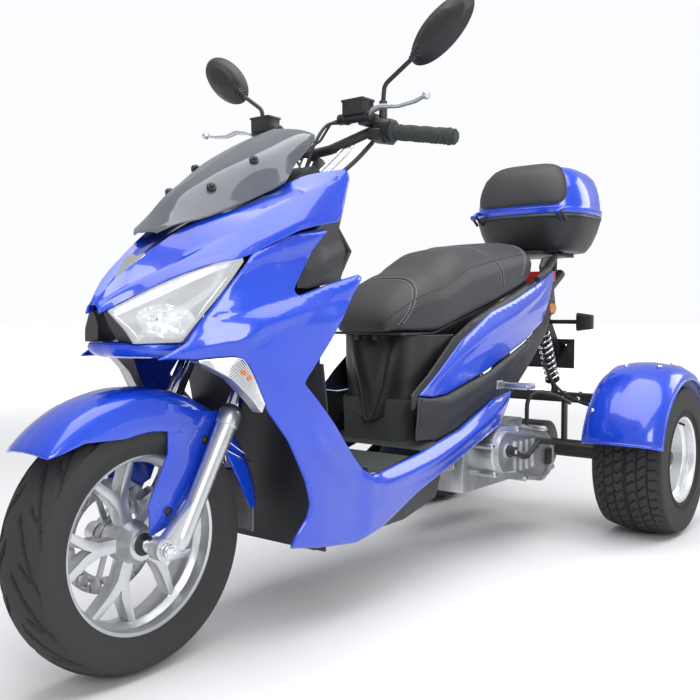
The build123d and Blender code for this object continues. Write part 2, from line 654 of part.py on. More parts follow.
def windscreen_outline():
    """The screen seen from the side, with the cut-out in its rear corner."""
    return [(fore(20), 780), (fore(20), 1120), (fore(396), 1120), (fore(400), 1070), (fore(424), 1046),
            (fore(428), 1032), (fore(420), 1022), (fore(397), 1016), (fore(360), 1001), (fore(335), 986),
            (fore(314), 967), (fore(303), 942), (fore(298), 926), (fore(298), 780)]


def windscreen():
    """The short smoked screen."""
    left = lofted_shell(windscreen_stations()) & side_prism(windscreen_outline(), -5, 160)
    for distance, y in SCREEN_SCREWS:
        left -= Pos(fore(distance), y, 800) * Cylinder(3.2, 400)
    return left + mirrored(left)


def dash_cover():
    """The black cover behind the screen: a hollow hood over the steering stem and instruments."""
    half = DASH_HALF_WIDTH
    outside = [(fore(314), 902), (fore(326), 934), (fore(396), 978), (fore(420), 974), (fore(434), 938),
               (fore(512), 930), (fore(470), 800), (fore(446), 800), (fore(400), 888)]
    inside = [(fore(317), 890), (fore(328), 929), (fore(397), 973), (fore(417), 969), (fore(431), 933),
              (fore(505), 926), (fore(466), 790), (fore(440), 790), (fore(396), 880)]
    hood = side_prism(outside, -half, half) - side_prism(inside, -half + 4, half - 4)
    slot = raked_cylinder(stem_x(780), 0, 780, STEM_RADIUS + 16, 260)
    return hood - slot


def headlamp_stations():
    """Section lines of the left headlamp's lens, each from its top edge down, from the nose outwards."""
    return [
        (fore(-68), [(22, 672), (34, 652), (46, 630), (52, 600)]),
        (fore(-38), [(36, 688), (52, 664), (68, 640), (77, 600)]),
        (fore(16), [(66, 718), (88, 690), (106, 650), (112, 600)]),
        (fore(56), [(96, 740), (113, 712), (125, 680), (127, 620)]),
        (fore(103), [(132, 762), (141, 735), (147, 710), (145, 650)]),
        (fore(153), [(155, 800), (159, 770), (161, 755), (158, 720)]),
    ]


LENS_WALL = 2.5


def headlamp_outline():
    """A headlamp seen from the side, inside its gaps to the hood and the fairing."""
    top = [(fore(distance), z - PANEL_GAP) for distance, z in NOSE_SEAM[:4]]
    return top + [(fore(148), 771.0), (fore(149.5), 762.9), (fore(33), 613.8), (fore(-40), 612.2)]


def headlamp_lenses():
    """The two clear lenses."""
    lens = lofted_shell(headlamp_stations(), LENS_WALL) & side_prism(headlamp_outline(), 20, 200)
    return both_sides(lens)


def headlamps():
    """The two lamp bodies behind the lenses, each with a round reflector bowl."""
    core = lofted_core(headlamp_stations(), LENS_WALL + PANEL_GAP, centre=14)
    body = core & side_prism(headlamp_outline(), 14, 200)
    bowl_plane = Plane(origin=(fore(-70), 84, 655), z_dir=(-1, 0, 0))
    body -= extrude(bowl_plane * Circle(34), 86, taper=6)
    return both_sides(body)


def chin_panel():
    """The lip under the headlamps, between the two fairing spikes."""
    lip = side_prism([(fore(-56), 606), (fore(-52), 594), (fore(30), 584), (fore(110), 588),
                      (fore(110), 600), (fore(34), 611.6), (fore(-40), 611.6)], -118, 118)
    return lip & inner_space()


def indicator_outline():
    """A front indicator seen from the side."""
    return [(fore(56), 580.3), (fore(114.5), 586.2), (fore(135.4), 569), (fore(174), 495.5),
            (fore(168), 480), (fore(112), 545)]


def front_indicators():
    """The two front indicators, set flush under the fairing's front edge."""
    lamp = lofted_shell(fairing_stations(), 26) & side_prism(indicator_outline(), 80, 200)
    return both_sides(lamp)


def wheel_well_liner():
    """The black splash wall behind the front wheel."""
    wall = side_prism([(fore(318), 566), (fore(334), 480), (fore(350), 340), (fore(354), BELLY_Z + 3.4),
                       (fore(358), BELLY_Z + 3.4), (fore(354), 340), (fore(338), 480), (fore(322), 566)],
                      -260, 260)
    return wall & inner_space()


def leg_shield():
    """The rider-side shield: a curved wall with a shoulder on each side of the steering stem."""
    wall = side_prism([(fore(421), 883), (fore(423), 861), (fore(421), 851), (fore(468), 800), (fore(441), 760),
                       (fore(421), 736), (fore(428), 600), (fore(464), 440), (fore(487), 333.6),
                       (fore(482), 334.4), (fore(459), 440), (fore(423), 600), (fore(416), 736),
                       (fore(436), 762), (fore(461), 800), (fore(416), 849), (fore(418), 883)], -166, 166)
    wall &= inner_space() + block(fore(470), fore(340), -166, 166, 700, 920)
    wall -= block(fore(480), fore(360), -DASH_HALF_WIDTH - 0.5, DASH_HALF_WIDTH + 0.5, 796, 920)
    shoulder = lofted_shell([
        (fore(262), [(178, 860), (180, 790), (184, 712)]),
        (fore(340), [(176, 868), (179, 800), (184, 720)]),
        (fore(404), [(166, 886), (166, 806), (174, 730)]),
        (fore(470), [(150, 886), (150, 800), (158, 736)]),
    ], 4)
    shoulder &= side_prism([(fore(418), 883), (fore(423), 861), (fore(421), 851), (fore(468), 800),
                            (fore(441), 760), (fore(421), 736), (fore(300), 715), (fore(268), 716),
                            (fore(300), 820), (fore(350), 850), (fore(396), 883)], 100, 200)
    return wall + shoulder + mirrored(shoulder)


# ---------------------------------------------------------------------------------------------------
# Floor, seat and tail
# ---------------------------------------------------------------------------------------------------
BELLY_Z = 172.0


def floorboard():
    """The foot tray between the skirts, with raised ribs and an upturned rear end inside the seat pod's foot."""
    slab = side_prism([(fore(480), 334), (fore(538), 326), (aft(942), 350), (aft(866), 352),
                       (aft(866), 342), (aft(942), 340), (fore(538), 316), (fore(480), 322)], -260, 260)
    rib_count = 7
    for index in range(rib_count):
        y = (index - (rib_count - 1) / 2) * 44
        slab += side_prism([(fore(505), 333), (fore(538), 329), (aft(942), 353), (aft(925), 356),
                            (aft(925), 350), (aft(942), 347), (fore(538), 323), (fore(505), 327)],
                           y - 8, y + 8)
    depth = POD_WALL + PANEL_GAP
    levels = [(345, 903, 1, 108), (390, 903, 1, 108), (433, 896, 3, 118), (452, 893, 4, 120)]
    ring = loft([pod_level(z, aft(front) - depth, nose, half - depth, aft(840))
                 for z, front, nose, half in levels], ruled=True)
    ring -= loft([pod_level(z, aft(front) - depth - 5, nose, half - depth - 5, aft(840))
                  for z, front, nose, half in levels], ruled=True)
    ring -= block(aft(800), aft(858), -140, 140, 340, 460)
    return (slab & inner_space()) + block(aft(800), aft(868), -148, 148, 342, 352) + ring


def belly_cover():
    """The dark tray under the frame rails, from the wheel well back to the engine."""
    stations = [
        (fore(358.6), [(166, 198), (150, BELLY_Z), (0, BELLY_Z)]),
        (fore(500), [(170, 232), (146, BELLY_Z), (0, BELLY_Z)]),
        (aft(949), [(166, 250), (140, BELLY_Z), (0, BELLY_Z)]),
        (aft(790), [(150, 286), (128, BELLY_Z + 26), (0, BELLY_Z + 26)]),
    ]
    left = lofted_shell(stations)
    return left + mirrored(left)


def pod_level(z, front, nose, half_width, rear):
    """One level of the seat pod's plan, as a flat face."""
    half = [(front, 0), (front + nose, half_width * 0.45), (front + nose * 0.5, half_width * 0.82),
            (front - 32, half_width), (rear, half_width + 8)]
    outline = half + [(x, -y) for x, y in half[:0:-1]]
    return make_face(Polyline(*[(x, y, z) for x, y in outline], close=True))


POD_WALL = 4.0
TUB_FRONT = 862.0
TUB_REAR = 494.6
TUB_HALF = 88.0
SEAT_HINGE = 912.0
SEAT_HINGE_Z = 606.0


def seat_pod():
    """The dark shell below the seat's nose, pointed at the foot, with the shelf for tub and seat hinge."""
    rear = aft(720)
    levels = [(390, 903, 1, 108), (433, 896, 3, 118), (478, 889, 5, 124), (533, 892, 6, 127), (606, 893, 6, 128)]
    outer = loft([pod_level(z, aft(front), nose, half, rear) for z, front, nose, half in levels], ruled=True)
    inner = loft([pod_level(z, aft(front) - POD_WALL, nose, half - POD_WALL, rear)
                  for z, front, nose, half in levels], ruled=True)
    ledge = (inner & block(aft(765), aft(930), -140, 140, 586, 590))
    ledge -= block(aft(700), aft(TUB_FRONT) + SEAT_GAP, -TUB_HALF - SEAT_GAP, TUB_HALF + SEAT_GAP, 580, 600)
    shelf = block(aft(886), aft(SEAT_HINGE), -50, 50, 588, SEAT_HINGE_Z - 9)
    ears = None
    for y in (38, -46):
        ear = cross_cylinder(aft(SEAT_HINGE), SEAT_HINGE_Z, y, y + 8, 7)
        ear += block(aft(SEAT_HINGE) - 7, aft(SEAT_HINGE), y, y + 8, 592, SEAT_HINGE_Z)
        ears = ear if ears is None else ears + ear
    pin = cross_cylinder(aft(SEAT_HINGE), SEAT_HINGE_Z, -46, 46, 4)
    foot = [(-150, 446), (-100, 430), (-50, 410), (0, 393), (50, 410), (100, 430), (150, 446), (150, 380),
            (-150, 380)]
    below = extrude(section_face(aft(960), foot), -300, dir=(1, 0, 0))
    return outer - inner - below + ledge + shelf + ears + pin


def luggage_bucket():
    """The open storage tub under the seat."""
    wall = 3.0
    tub = block(aft(TUB_REAR), aft(TUB_FRONT), -TUB_HALF, TUB_HALF, 408, 604)
    tub -= block(aft(TUB_REAR) + wall, aft(TUB_FRONT) - wall, -TUB_HALF + wall, TUB_HALF - wall, 408 + wall, 610)
    return tub


def tail_stations():
    """Section lines of the blue tail panel."""
    return [
        (aft(932), [(136, 570), (146, 510), (152, 462), (150, 420)]),
        (aft(848), [(142, 618), (153, 540), (158, 480), (154, 440)]),
        (aft(700), [(140, 656), (152, 600), (157, 540), (151, 470)]),
        (aft(546), [(138, 704), (150, 655), (155, 600), (148, 530)]),
        (aft(395), [(136, 740), (147, 700), (151, 650), (144, 580)]),
        (aft(200), [(122, 800), (134, 756), (138, 700), (132, 620)]),
        (aft(75), [(104, 840), (114, 800), (118, 750), (114, 680)]),
    ]


def side_covers():
    """The dark covers behind the tail panels, seen as a strip between the seat pod and the painted panel."""
    outline = [(aft(928), 431), (aft(928), 470), (aft(742), 604), (aft(640), 644)]
    outline += [(aft(x), seat_floor(x) - 5.5) for x in (500, 262, 200)]
    outline += [(aft(96), 800), (aft(104), 770), (aft(200), 642), (aft(345), 584), (aft(560), 515),
                (aft(780), 470), (aft(848), 466), (aft(903), 470), (aft(910), 431)]
    shell = lofted_shell(inset_stations(tail_stations(), PANEL_WALL + PANEL_GAP))
    cover = (shell & side_prism(outline, 60, 200))
    web = section_face(aft(846), [(130, 470), (153, 470), (153, 480), (148, 540), (146, 556), (130, 556)])
    cover += extrude(web, 4, dir=(1, 0, 0))
    return both_sides(cover)


def tail_panels():
    """The painted tail panels below the seat."""
    outline = [(aft(907), 467), (aft(700), 600), (aft(546), 672), (aft(395), 710), (aft(200), 772),
               (aft(79), 809), (aft(90), 771), (aft(193), 640), (aft(340), 580), (aft(560), 510),
               (aft(780), 462), (aft(848), 459)]
    return both_sides(lofted_shell(tail_stations()) & side_prism(outline, 60, 200))


def lower_tail_stations():
    """Section lines of the dark cover under the tail panel."""
    return [
        (aft(960), [(150, 480), (156, 440), (160, 400), (162, 320)]),
        (aft(850), [(148, 520), (154, 460), (163, 410), (166, 310)]),
        (aft(640), [(148, 600), (154, 500), (160, 450), (160, 330)]),
        (aft(430), [(140, 640), (148, 560), (152, 500), (151, 380)]),
        (aft(200), [(136, 700), (134, 630), (134, 580), (128, 520)]),
        (aft(60), [(114, 790), (115, 700), (114, 640), (108, 580)]),
    ]


def lower_tail_covers():
    """The dark covers between the tail panels and the engine."""
    outline = [(aft(906), 466), (aft(848), 458), (aft(780), 461), (aft(560), 509), (aft(340), 579),
               (aft(193), 639), (aft(90), 770), (aft(64), 700), (aft(180), 590), (aft(320), 500),
               (aft(433), 432), (aft(562), 384), (aft(751), 340), (aft(863), 330), (aft(863), 354), (aft(930), 358), (aft(930), 379)]
    return both_sides(lofted_shell(lower_tail_stations()) & side_prism(outline, 60, 200))


def seat_section(x, half_width, low, high):
    """One cross-section of the seat cushion."""
    height = high - low
    half = [(0, high), (half_width * 0.62, high - height * 0.05), (half_width * 0.9, high - height * 0.22),
            (half_width, low + height * 0.45), (half_width * 0.95, low + height * 0.12),
            (half_width * 0.88, low)]
    outline = half + [(-y, z) for y, z in half[:0:-1]]
    return make_face(Polyline(*[(x, y, z) for y, z in outline], close=True))


SEAT_FLOOR = ((945, 620), (785, 620), (500, 692), (262, 762), (200, 780))


def seat_floor(x):
    """Height of the cushion's underside at a distance ahead of the rear axle."""
    for (x0, z0), (x1, z1) in zip(SEAT_FLOOR, SEAT_FLOOR[1:]):
        if x1 <= x <= x0:
            return z0 + (z1 - z0) * (x - x0) / (x1 - x0)
    raise ValueError("outside the seat")


def seat():
    """The stepped two-person cushion."""
    stations = [(940, 72, 652), (914, 102, 692), (876, 124, 730), (830, 140, 757),
                (785, 149, 774), (700, 150, 812), (640, 148, 840), (500, 146, 864),
                (361, 142, 880), (262, 128, 882), (208, 106, 858)]
    return loft([seat_section(aft(x), half, seat_floor(x), high) for x, half, high in stations], ruled=True)


def seat_base():
    """The moulded pan under the cushion, with its two hinge knuckles."""
    line = [(x, seat_floor(x) - SEAT_GAP) for x in (930, 785, 500, 262)]
    under = [(x, z - 6) for x, z in line]
    pan = side_prism([(aft(x), z) for x, z in line + under[::-1]], -116, 116)
    for y in (22, -36):
        knuckle = cross_cylinder(aft(SEAT_HINGE), SEAT_HINGE_Z, y, y + 14, 8.5)
        knuckle += block(aft(SEAT_HINGE) - 8, aft(SEAT_HINGE) + 8, y, y + 14, SEAT_HINGE_Z, 615)
        pan += knuckle
    return pan - cross_cylinder(aft(SEAT_HINGE), SEAT_HINGE_Z, -60, 60, 4 + RUNNING_CLEARANCE)


def luggage_rack():
    """The cast rack and grab rails that carry the top case."""
    plate = block(aft(-150), aft(110), -80, 80, RACK_Z, RACK_Z + 10)
    rails = tube([(aft(262), 146, 770), (aft(170), 140, 806), (aft(60), 112, 852), (aft(-40), 86, 858.8)], 9,
                 [60, 60])
    cheek = lofted_shell([(aft(204), [(124, 850), (134, 780)]), (aft(120), [(112, 866), (122, 790)]),
                          (aft(40), [(90, 870), (104, 810)])], 8)
    cheek &= side_prism([(aft(200), 786), (aft(200), 812), (aft(168), 838), (aft(110), 848), (aft(48), 852),
                         (aft(56), 830), (aft(81), 819), (aft(130), 802)], 60, 160)
    rails += cheek
    return plate + rails + mirrored(rails)


def case_plan(grow, z):
    """The top case's plan outline at one level."""
    front, rear, half = aft(118) + grow, aft(-205) - grow, CASE_HALF_WIDTH + grow
    length = front - rear
    shape = [(0, 0), (0.02, 0.5), (0.1, 0.86), (0.25, 1), (0.66, 0.98), (0.85, 0.86), (0.96, 0.5), (1, 0)]
    half_outline = [(front - length * along, half * across) for along, across in shape]
    outline = half_outline + [(x, -y) for x, y in half_outline[-2:0:-1]]
    return make_face(Polyline(*[(x, y, z) for x, y in outline], close=True))


CASE_BASE_Z = 868.3
CASE_RIM_Z = 985.0
CASE_TOP_Z = 1149.0


LID_HINGE_X = 126.0
LID_HINGE_PIN = 3.5


def top_case_base():
    """The hollow lower half of the top case, with the two hinge forks and pins of the lid in front."""
    outer = loft([case_plan(-45, CASE_BASE_Z), case_plan(-8, CASE_BASE_Z + 60), case_plan(0, CASE_RIM_Z)],
                 ruled=True)
    inner = loft([case_plan(-45 - CASE_WALL, CASE_BASE_Z + CASE_WALL),
                  case_plan(-8 - CASE_WALL, CASE_BASE_Z + 60), case_plan(-CASE_WALL, CASE_RIM_Z)], ruled=True)
    x, z = aft(LID_HINGE_X), CASE_RIM_Z
    arms = None
    for y in (137, 157.5):
        arm = side_prism([(aft(92), z - 34), (x - 4, z - 6), (x + 4, z - 4), (x + 4, z), (x - 8, z - 1),
                          (aft(92), z - 6)], y, y + 5.5)
        arm += cross_cylinder(x, z, y, y + 5.5, 8)
        arms = arm if arms is None else arms + arm
    arms += cross_cylinder(x, z, 138, 162, LID_HINGE_PIN)
    arms += block(aft(84), aft(98), 137, 163, z - 30, z - 9)
    return outer - inner + (arms + mirrored(arms) - inner)


def lid_solid(grow=0.0):
    """The lid's outer form, grown by a clearance."""
    low = CASE_RIM_Z + SEAT_GAP
    levels = [(0, low - grow), (2, low + 30), (-22, CASE_TOP_Z - 50), (-62, CASE_TOP_Z - 10),
              (-90, CASE_TOP_Z + grow)]
    return loft([case_plan(inset + grow, z) for inset, z in levels], ruled=True)


def top_case_lid():
    """The hollow lid of the top case, with a hinge knuckle on each side of its front."""
    low = CASE_RIM_Z + SEAT_GAP
    levels = [(0, low), (2, low + 30), (-22, CASE_TOP_Z - 50), (-62, CASE_TOP_Z - 14),
              (-90, CASE_TOP_Z - CASE_WALL)]
    inner = loft([case_plan(inset - CASE_WALL, z) for inset, z in levels], ruled=True)
    x, z = aft(LID_HINGE_X), CASE_RIM_Z
    knuckle = side_prism([(aft(84), z + 1), (x - 9, z + 1), (x, z - 4), (x + 6, z), (x + 2, z + 7),
                          (aft(84), z + 22)], 143, 157)
    knuckle += cross_cylinder(x, z, 143, 157, 8)
    knuckle -= cross_cylinder(x, z, 130, 170, LID_HINGE_PIN + RUNNING_CLEARANCE)
    return lid_solid() + ((knuckle + mirrored(knuckle)) - inner) - inner


def top_case_pad():
    """The soft back rest that wraps over the front of the lid."""
    region = Plane(origin=(aft(10), 0, 0), x_dir=(0, 1, 0), z_dir=(1, 0, 0)) * Pos(0, 1101) * RectangleRounded(
        292, 190, 38)
    return (lid_solid(12) - lid_solid(SEAT_GAP)) & extrude(region, 160)


# ---------------------------------------------------------------------------------------------------
# Frame, engine and rear axle
# ---------------------------------------------------------------------------------------------------
RACK_Z = 858.0


def post(length):
    """A short upright boss."""
    return Cylinder(9, length, align=(Align.CENTER, Align.CENTER, Align.MIN))


def frame():
    """The welded tube frame: head tube, two floor rails that rise to the tail, and cross tubes."""
    head = raked_cylinder(stem_x(HEAD_BOTTOM_Z), 0, HEAD_BOTTOM_Z, 26, HEAD_LENGTH)
    spread = RAIL_HALF_SPREAD
    rail = tube([(stem_x(690), 8, 690), (fore(380), 70, 500), (fore(395), spread, 240),
                 (aft(860), spread, 222), (aft(640), spread, 330), (aft(480), spread, 470),
                 (aft(330), spread - 14, 600), (aft(-60), 72, 800)], TUBE_RADIUS,
                [60, 50, 50, 60, 60, 60])
    body = head + rail + mirrored(rail)
    for x, z, half in ((aft(840), 226, spread - 6), (aft(480), 470, spread - 6), (aft(10), 764, 76)):
        body += cross_cylinder(x, z, -half, half, TUBE_RADIUS - 2)
    for y in (spread, -spread):
        body += Pos(aft(1000), y, 230) * post(100)
        body += Pos(fore(500), y, BELLY_Z + 3.3) * post(50)
    for y in (60, -60):
        body += Pos(aft(-40), y, 780) * post(RACK_Z - SEAT_GAP - 780)
    body -= raked_cylinder(stem_x(HEAD_BOTTOM_Z - 20), 0, HEAD_BOTTOM_Z - 20,
                           STEM_RADIUS + RUNNING_CLEARANCE, HEAD_LENGTH + 60)
    return body


ENGINE_LEFT_Y = 94.0


def engine_block():
    """The crankcase with its finned barrel and cylinder head lying forwards."""
    case = block(aft(250), aft(600), -70, ENGINE_LEFT_Y, 170, 350)
    barrel = block(aft(600), aft(700), -52, 60, 250, 350)
    for index in range(6):
        x = aft(610 + index * 15)
        barrel += block(x, x + 5, -66, 74, 236, 364)
    head = block(aft(700), aft(770), -58, 66, 246, 356)
    hanger = block(aft(472), aft(488), -20, 20, 340, 470 - TUBE_RADIUS + 2 - SEAT_GAP)
    return case + barrel + head + hanger


def variator_outline(grow=0.0):
    """The transmission cover seen from the side."""
    front = Pos(aft(506), 282) * Circle(72 + grow)
    rear = Pos(aft(266), 240) * Circle(74 + grow)
    return Plane.XZ * make_hull((front + rear).edges())


def variator_cover():
    """The ribbed cast cover of the belt drive on the left, with a raised rim and a kick-start boss."""
    inner = ENGINE_LEFT_Y + SEAT_GAP
    cover = extrude(Pos(0, 170, 0) * variator_outline(), 170 - inner)
    cover += extrude(Pos(0, 182, 0) * variator_outline(-14), 14)
    cover -= extrude(Pos(0, 184, 0) * variator_outline(-22), 6)
    for distance, half in ((452, 44), (416, 42), (380, 42), (344, 42)):
        cover += block(aft(distance), aft(distance + 5), 176, 183, 262 - half, 262 + half)
    for along, height in ((578, 306), (560, 226), (430, 338), (380, 190), (250, 320), (200, 200), (196, 268)):
        cover += cross_cylinder(aft(along), height, inner, 174, 9)
    cover += cross_cylinder(aft(500), 285, 170, 182, 20)
    return cover


def kick_starter():
    """The folding kick lever on its boss."""
    boss = cross_cylinder(aft(500), 285, 182.3, 205, 14)
    lever = tube([(aft(500), 196, 285), (aft(440), 200, 262), (aft(360), 206, 300)], 7, [20])
    pedal = cross_cylinder(aft(360), 300, 196, 250, 9)
    return boss + lever + pedal


def exhaust_muffler():
    """The exhaust pipe and silencer on the right."""
    pipe = tube([(aft(735), -30, 245.8), (aft(735), -30, 205), (aft(640), -130, 196), (aft(470), -190, 220)],
                15, [18, 60])
    can = Plane(origin=(aft(480), -190, 220), z_dir=(-1, 0, 0.16))
    silencer = extrude(can * Circle(48), 330)
    silencer += extrude(can.offset(330) * Circle(48), 24, taper=24)
    return pipe + silencer


FENDER_INNER_Y = REAR_WHEEL_Y - 118


def rear_axle_carrier():
    """The axle housing with its gear case, upper beam and the posts of the fenders."""
    z = REAR_TYRE_RADIUS
    hub_end = REAR_WHEEL_Y - 18 - SEAT_GAP
    body = cross_cylinder(REAR_AXLE_X, z, -hub_end, hub_end, 28)
    body += cross_cylinder(REAR_AXLE_X, z, -70, 60, 84)
    body += cross_cylinder(REAR_AXLE_X, z, -REAR_WHEEL_Y - 56, REAR_WHEEL_Y + 56, REAR_AXLE_RADIUS)
    end_y = FENDER_INNER_Y + 8
    body += block(aft(-20), aft(20), -end_y, end_y, 380, 410)
    for y in (-230, -120, 120, 230):
        body += block(aft(-14), aft(14), y - 5, y + 5, z, 396)
    body += block(aft(20), aft(249.7), -60, 60, 200, 290)
    for side in (-1, 1):
        low, high = sorted((side * (FENDER_INNER_Y), side * end_y))
        body += block(aft(-12), aft(12), low, high, 390, z + REAR_FENDER_RADIUS - 38)
        low, high = sorted((side * (REAR_WHEEL_Y + 26 + SEAT_GAP), side * (REAR_WHEEL_Y + 42)))
        body += cross_cylinder(REAR_AXLE_X, z, low, high, 20)
    return body


def shock_absorbers():
    """The two coil-over shocks between the axle beam and the frame."""
    shocks = []
    low, high = Vector(aft(20), 96, 410.3), Vector(aft(150), 96, 668)
    direction = (high - low).normalized()
    plane = Plane(origin=low, z_dir=direction)
    length = (high - low).length
    body = extrude(plane * Circle(9), length)
    turns = 9
    for index in range(turns):
        body += extrude(plane.offset(50 + index * 19) * Circle(24), 9)
    shocks.extend(both_sides(body))
    return shocks


def rear_fender():
    """The left rear mudguard: a bulged half barrel with a rolled outer lip."""
    radius = REAR_FENDER_RADIUS
    low, high = FENDER_INNER_Y, REAR_WHEEL_Y + 112
    line = [(radius - 34, low), (radius - 12, low + 20), (radius - 2, low + 66), (radius, low + 118),
            (radius - 8, high - 40), (radius - 26, high - 10), (radius - 46, high)]
    inside = [(radius_ - 3.2, y - 0.01 * (y - REAR_WHEEL_Y)) for radius_, y in line]
    profile = make_face(Polyline(*[(r, y, 0) for r, y in line + inside[::-1]], close=True))
    backwards = Axis((0, 0, 0), (0, -1, 0))
    arc = revolve(Rot(0, -14, 0) * profile, axis=backwards, revolution_arc=152)
    return Pos(REAR_AXLE_X, 0, REAR_TYRE_RADIUS) * arc


def tail_lamp():
    """The tail lamp across the end of the tail, between the two painted panels."""
    x, z = aft(80), 803
    half = skin_side(tail_stations(), x, z) - PANEL_WALL - PANEL_GAP
    return block(aft(58), aft(86), -half, half, 770, 803)


ARM_HALF_WIDTH = 30.0
PEG_X = 515.0
PEG_Z = 470.0


def rear_indicators():
    """The rear indicators on stalks from the plate carrier's arm."""
    stalk = Plane(origin=(aft(-62), ARM_HALF_WIDTH + SEAT_GAP, 640), z_dir=(0, 1, 0))
    lamp = extrude(stalk * Circle(7), 110)
    lamp += extrude(stalk.offset(106) * RectangleRounded(60, 34, 12), 50, taper=8)
    return both_sides(lamp)


def number_plate_bracket():
    """The plate carrier on its arm behind the tail."""
    plate = block(aft(-142), aft(-138), -90, 90, 480, 580)
    arm = side_prism([(aft(-138), 580), (aft(-138), 500), (aft(-120), 520), (aft(6), 720),
                      (aft(18), 749.7), (aft(0), 749.7)], -ARM_HALF_WIDTH, ARM_HALF_WIDTH)
    for y in (-60, 60):
        plate -= Plane(origin=(aft(-150), y, 560), z_dir=(1, 0, 0)) * Cylinder(3, 60)
    return plate + arm


def passenger_peg(side):
    """One foot peg that folds up against the tail cover about its pin."""
    y = peg_pivot_y()
    tongue = Plane(origin=(aft(PEG_X) - 8, y, PEG_Z), z_dir=(1, 0, 0)) * Cylinder(
        9, 16, align=(Align.CENTER, Align.CENTER, Align.MIN))
    tongue += block(aft(PEG_X) - 8, aft(PEG_X) + 8, y, y + 22, PEG_Z - 7, PEG_Z + 7)
    bar = block(aft(PEG_X) - 34, aft(PEG_X) + 20, y + 14, y + 80, PEG_Z - 8, PEG_Z + 6)
    peg = tongue + bar
    peg -= Plane(origin=(aft(PEG_X) - 20, y, PEG_Z), z_dir=(1, 0, 0)) * Cylinder(
        4 + RUNNING_CLEARANCE, 60, align=(Align.CENTER, Align.CENTER, Align.MIN))
    return peg if side > 0 else mirrored(peg)


def peg_pivot_y():
    """Sideways place of the foot peg's pin."""
    return skin_side(lower_tail_stations(), aft(PEG_X), PEG_Z) + 16


def peg_hangers():
    """The two forks on the tail covers that hold the foot pegs' pins."""
    y = peg_pivot_y()
    skin = skin_side(lower_tail_stations(), aft(PEG_X) + 16, PEG_Z - 12) + PANEL_GAP
    fork = block(aft(PEG_X) - 16, aft(PEG_X) + 16, skin, skin + 5, PEG_Z - 12, PEG_Z + 12)
    for x in (-14, 8.5):
        fork += block(aft(PEG_X) + x, aft(PEG_X) + x + 5.5, skin, y + 8, PEG_Z - 8, PEG_Z + 8)
    fork += Plane(origin=(aft(PEG_X) - 14, y, PEG_Z), z_dir=(1, 0, 0)) * Cylinder(
        4, 28, align=(Align.CENTER, Align.CENTER, Align.MIN))
    return both_sides(fork)


# ---------------------------------------------------------------------------------------------------
# Build every node
# ---------------------------------------------------------------------------------------------------
front_centre = Pos(FRONT_AXLE_X, 0, FRONT_TYRE_RADIUS)
write("front_tyre", front_centre * tyre(FRONT_TYRE_RADIUS, FRONT_TYRE_WIDTH, FRONT_BEAD_RADIUS,
                                        FRONT_FLANGE_RADIUS, FRONT_RIM_HALF_WIDTH))
write("front_rim", front_rim())
write("front_brake_disc", brake_disc())
for side_name, side_sign in (("left", 1), ("right", -1)):
    wheel_centre = Pos(REAR_AXLE_X, side_sign * REAR_WHEEL_Y, REAR_TYRE_RADIUS)
    write(f"rear_tyre_{side_name}", wheel_centre * tyre(REAR_TYRE_RADIUS, REAR_TYRE_WIDTH,
          REAR_BEAD_RADIUS, REAR_FLANGE_RADIUS, REAR_RIM_HALF_WIDTH))
    write(f"rear_rim_{side_name}", rear_rim(side_sign))
    write(f"passenger_peg_{side_name}", passenger_peg(side_sign))

write("fork_sliders", fork_sliders())
write("fork_stanchions", fork_stanchions())
write("front_axle", front_axle())
write("front_fender", front_fender())
write("fender_flap", fender_flap())
write("brake_caliper", brake_caliper())
write("handlebar", handlebar())
write("handlebar_grips", handlebar_grips())
write("switch_housings", switch_housings())
write("brake_levers", brake_levers())
write("mirrors", mirrors())
write("control_cables", control_cables())

left_fairing = front_fairing()
write("front_fairing_left", left_fairing)
write("front_fairing_right", mirrored(left_fairing))
write("nose_cowl", nose_cowl())
write("windscreen", windscreen())
write("dash_cover", dash_cover())
write("headlamps", headlamps())
write("headlamp_lenses", headlamp_lenses())
write("chin_panel", chin_panel())
write("front_indicators", front_indicators())
write("wheel_well_liner", wheel_well_liner())
write("leg_shield", leg_shield())
write("floorboard", floorboard())
write("belly_cover", belly_cover())
write("seat_pod", seat_pod())
write("luggage_bucket", luggage_bucket())
write("tail_panels", tail_panels())
write("side_covers", side_covers())
write("lower_tail_covers", lower_tail_covers())
write("seat", seat())
write("seat_base", seat_base())
write("luggage_rack", luggage_rack())
write("top_case_base", top_case_base())
write("top_case_lid", top_case_lid())
write("top_case_pad", top_case_pad())
write("frame", frame())
write("engine_block", engine_block())
write("variator_cover", variator_cover())
write("kick_starter", kick_starter())
write("exhaust_muffler", exhaust_muffler())
write("rear_axle_carrier", rear_axle_carrier())
write("shock_absorbers", shock_absorbers())
write("rear_fenders", both_sides(rear_fender()))
write("tail_lamp", tail_lamp())
write("rear_indicators", rear_indicators())
write("number_plate_bracket", number_plate_bracket())
write("peg_hangers", peg_hangers())
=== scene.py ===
"""Looks of the motor trike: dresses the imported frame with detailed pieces, materials, light and a camera."""

import json
import logging
import math
from dataclasses import dataclass, field
from enum import Enum
from typing import Callable, Sequence

import bmesh
import bpy
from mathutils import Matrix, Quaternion, Vector
from mathutils.geometry import delaunay_2d_cdt

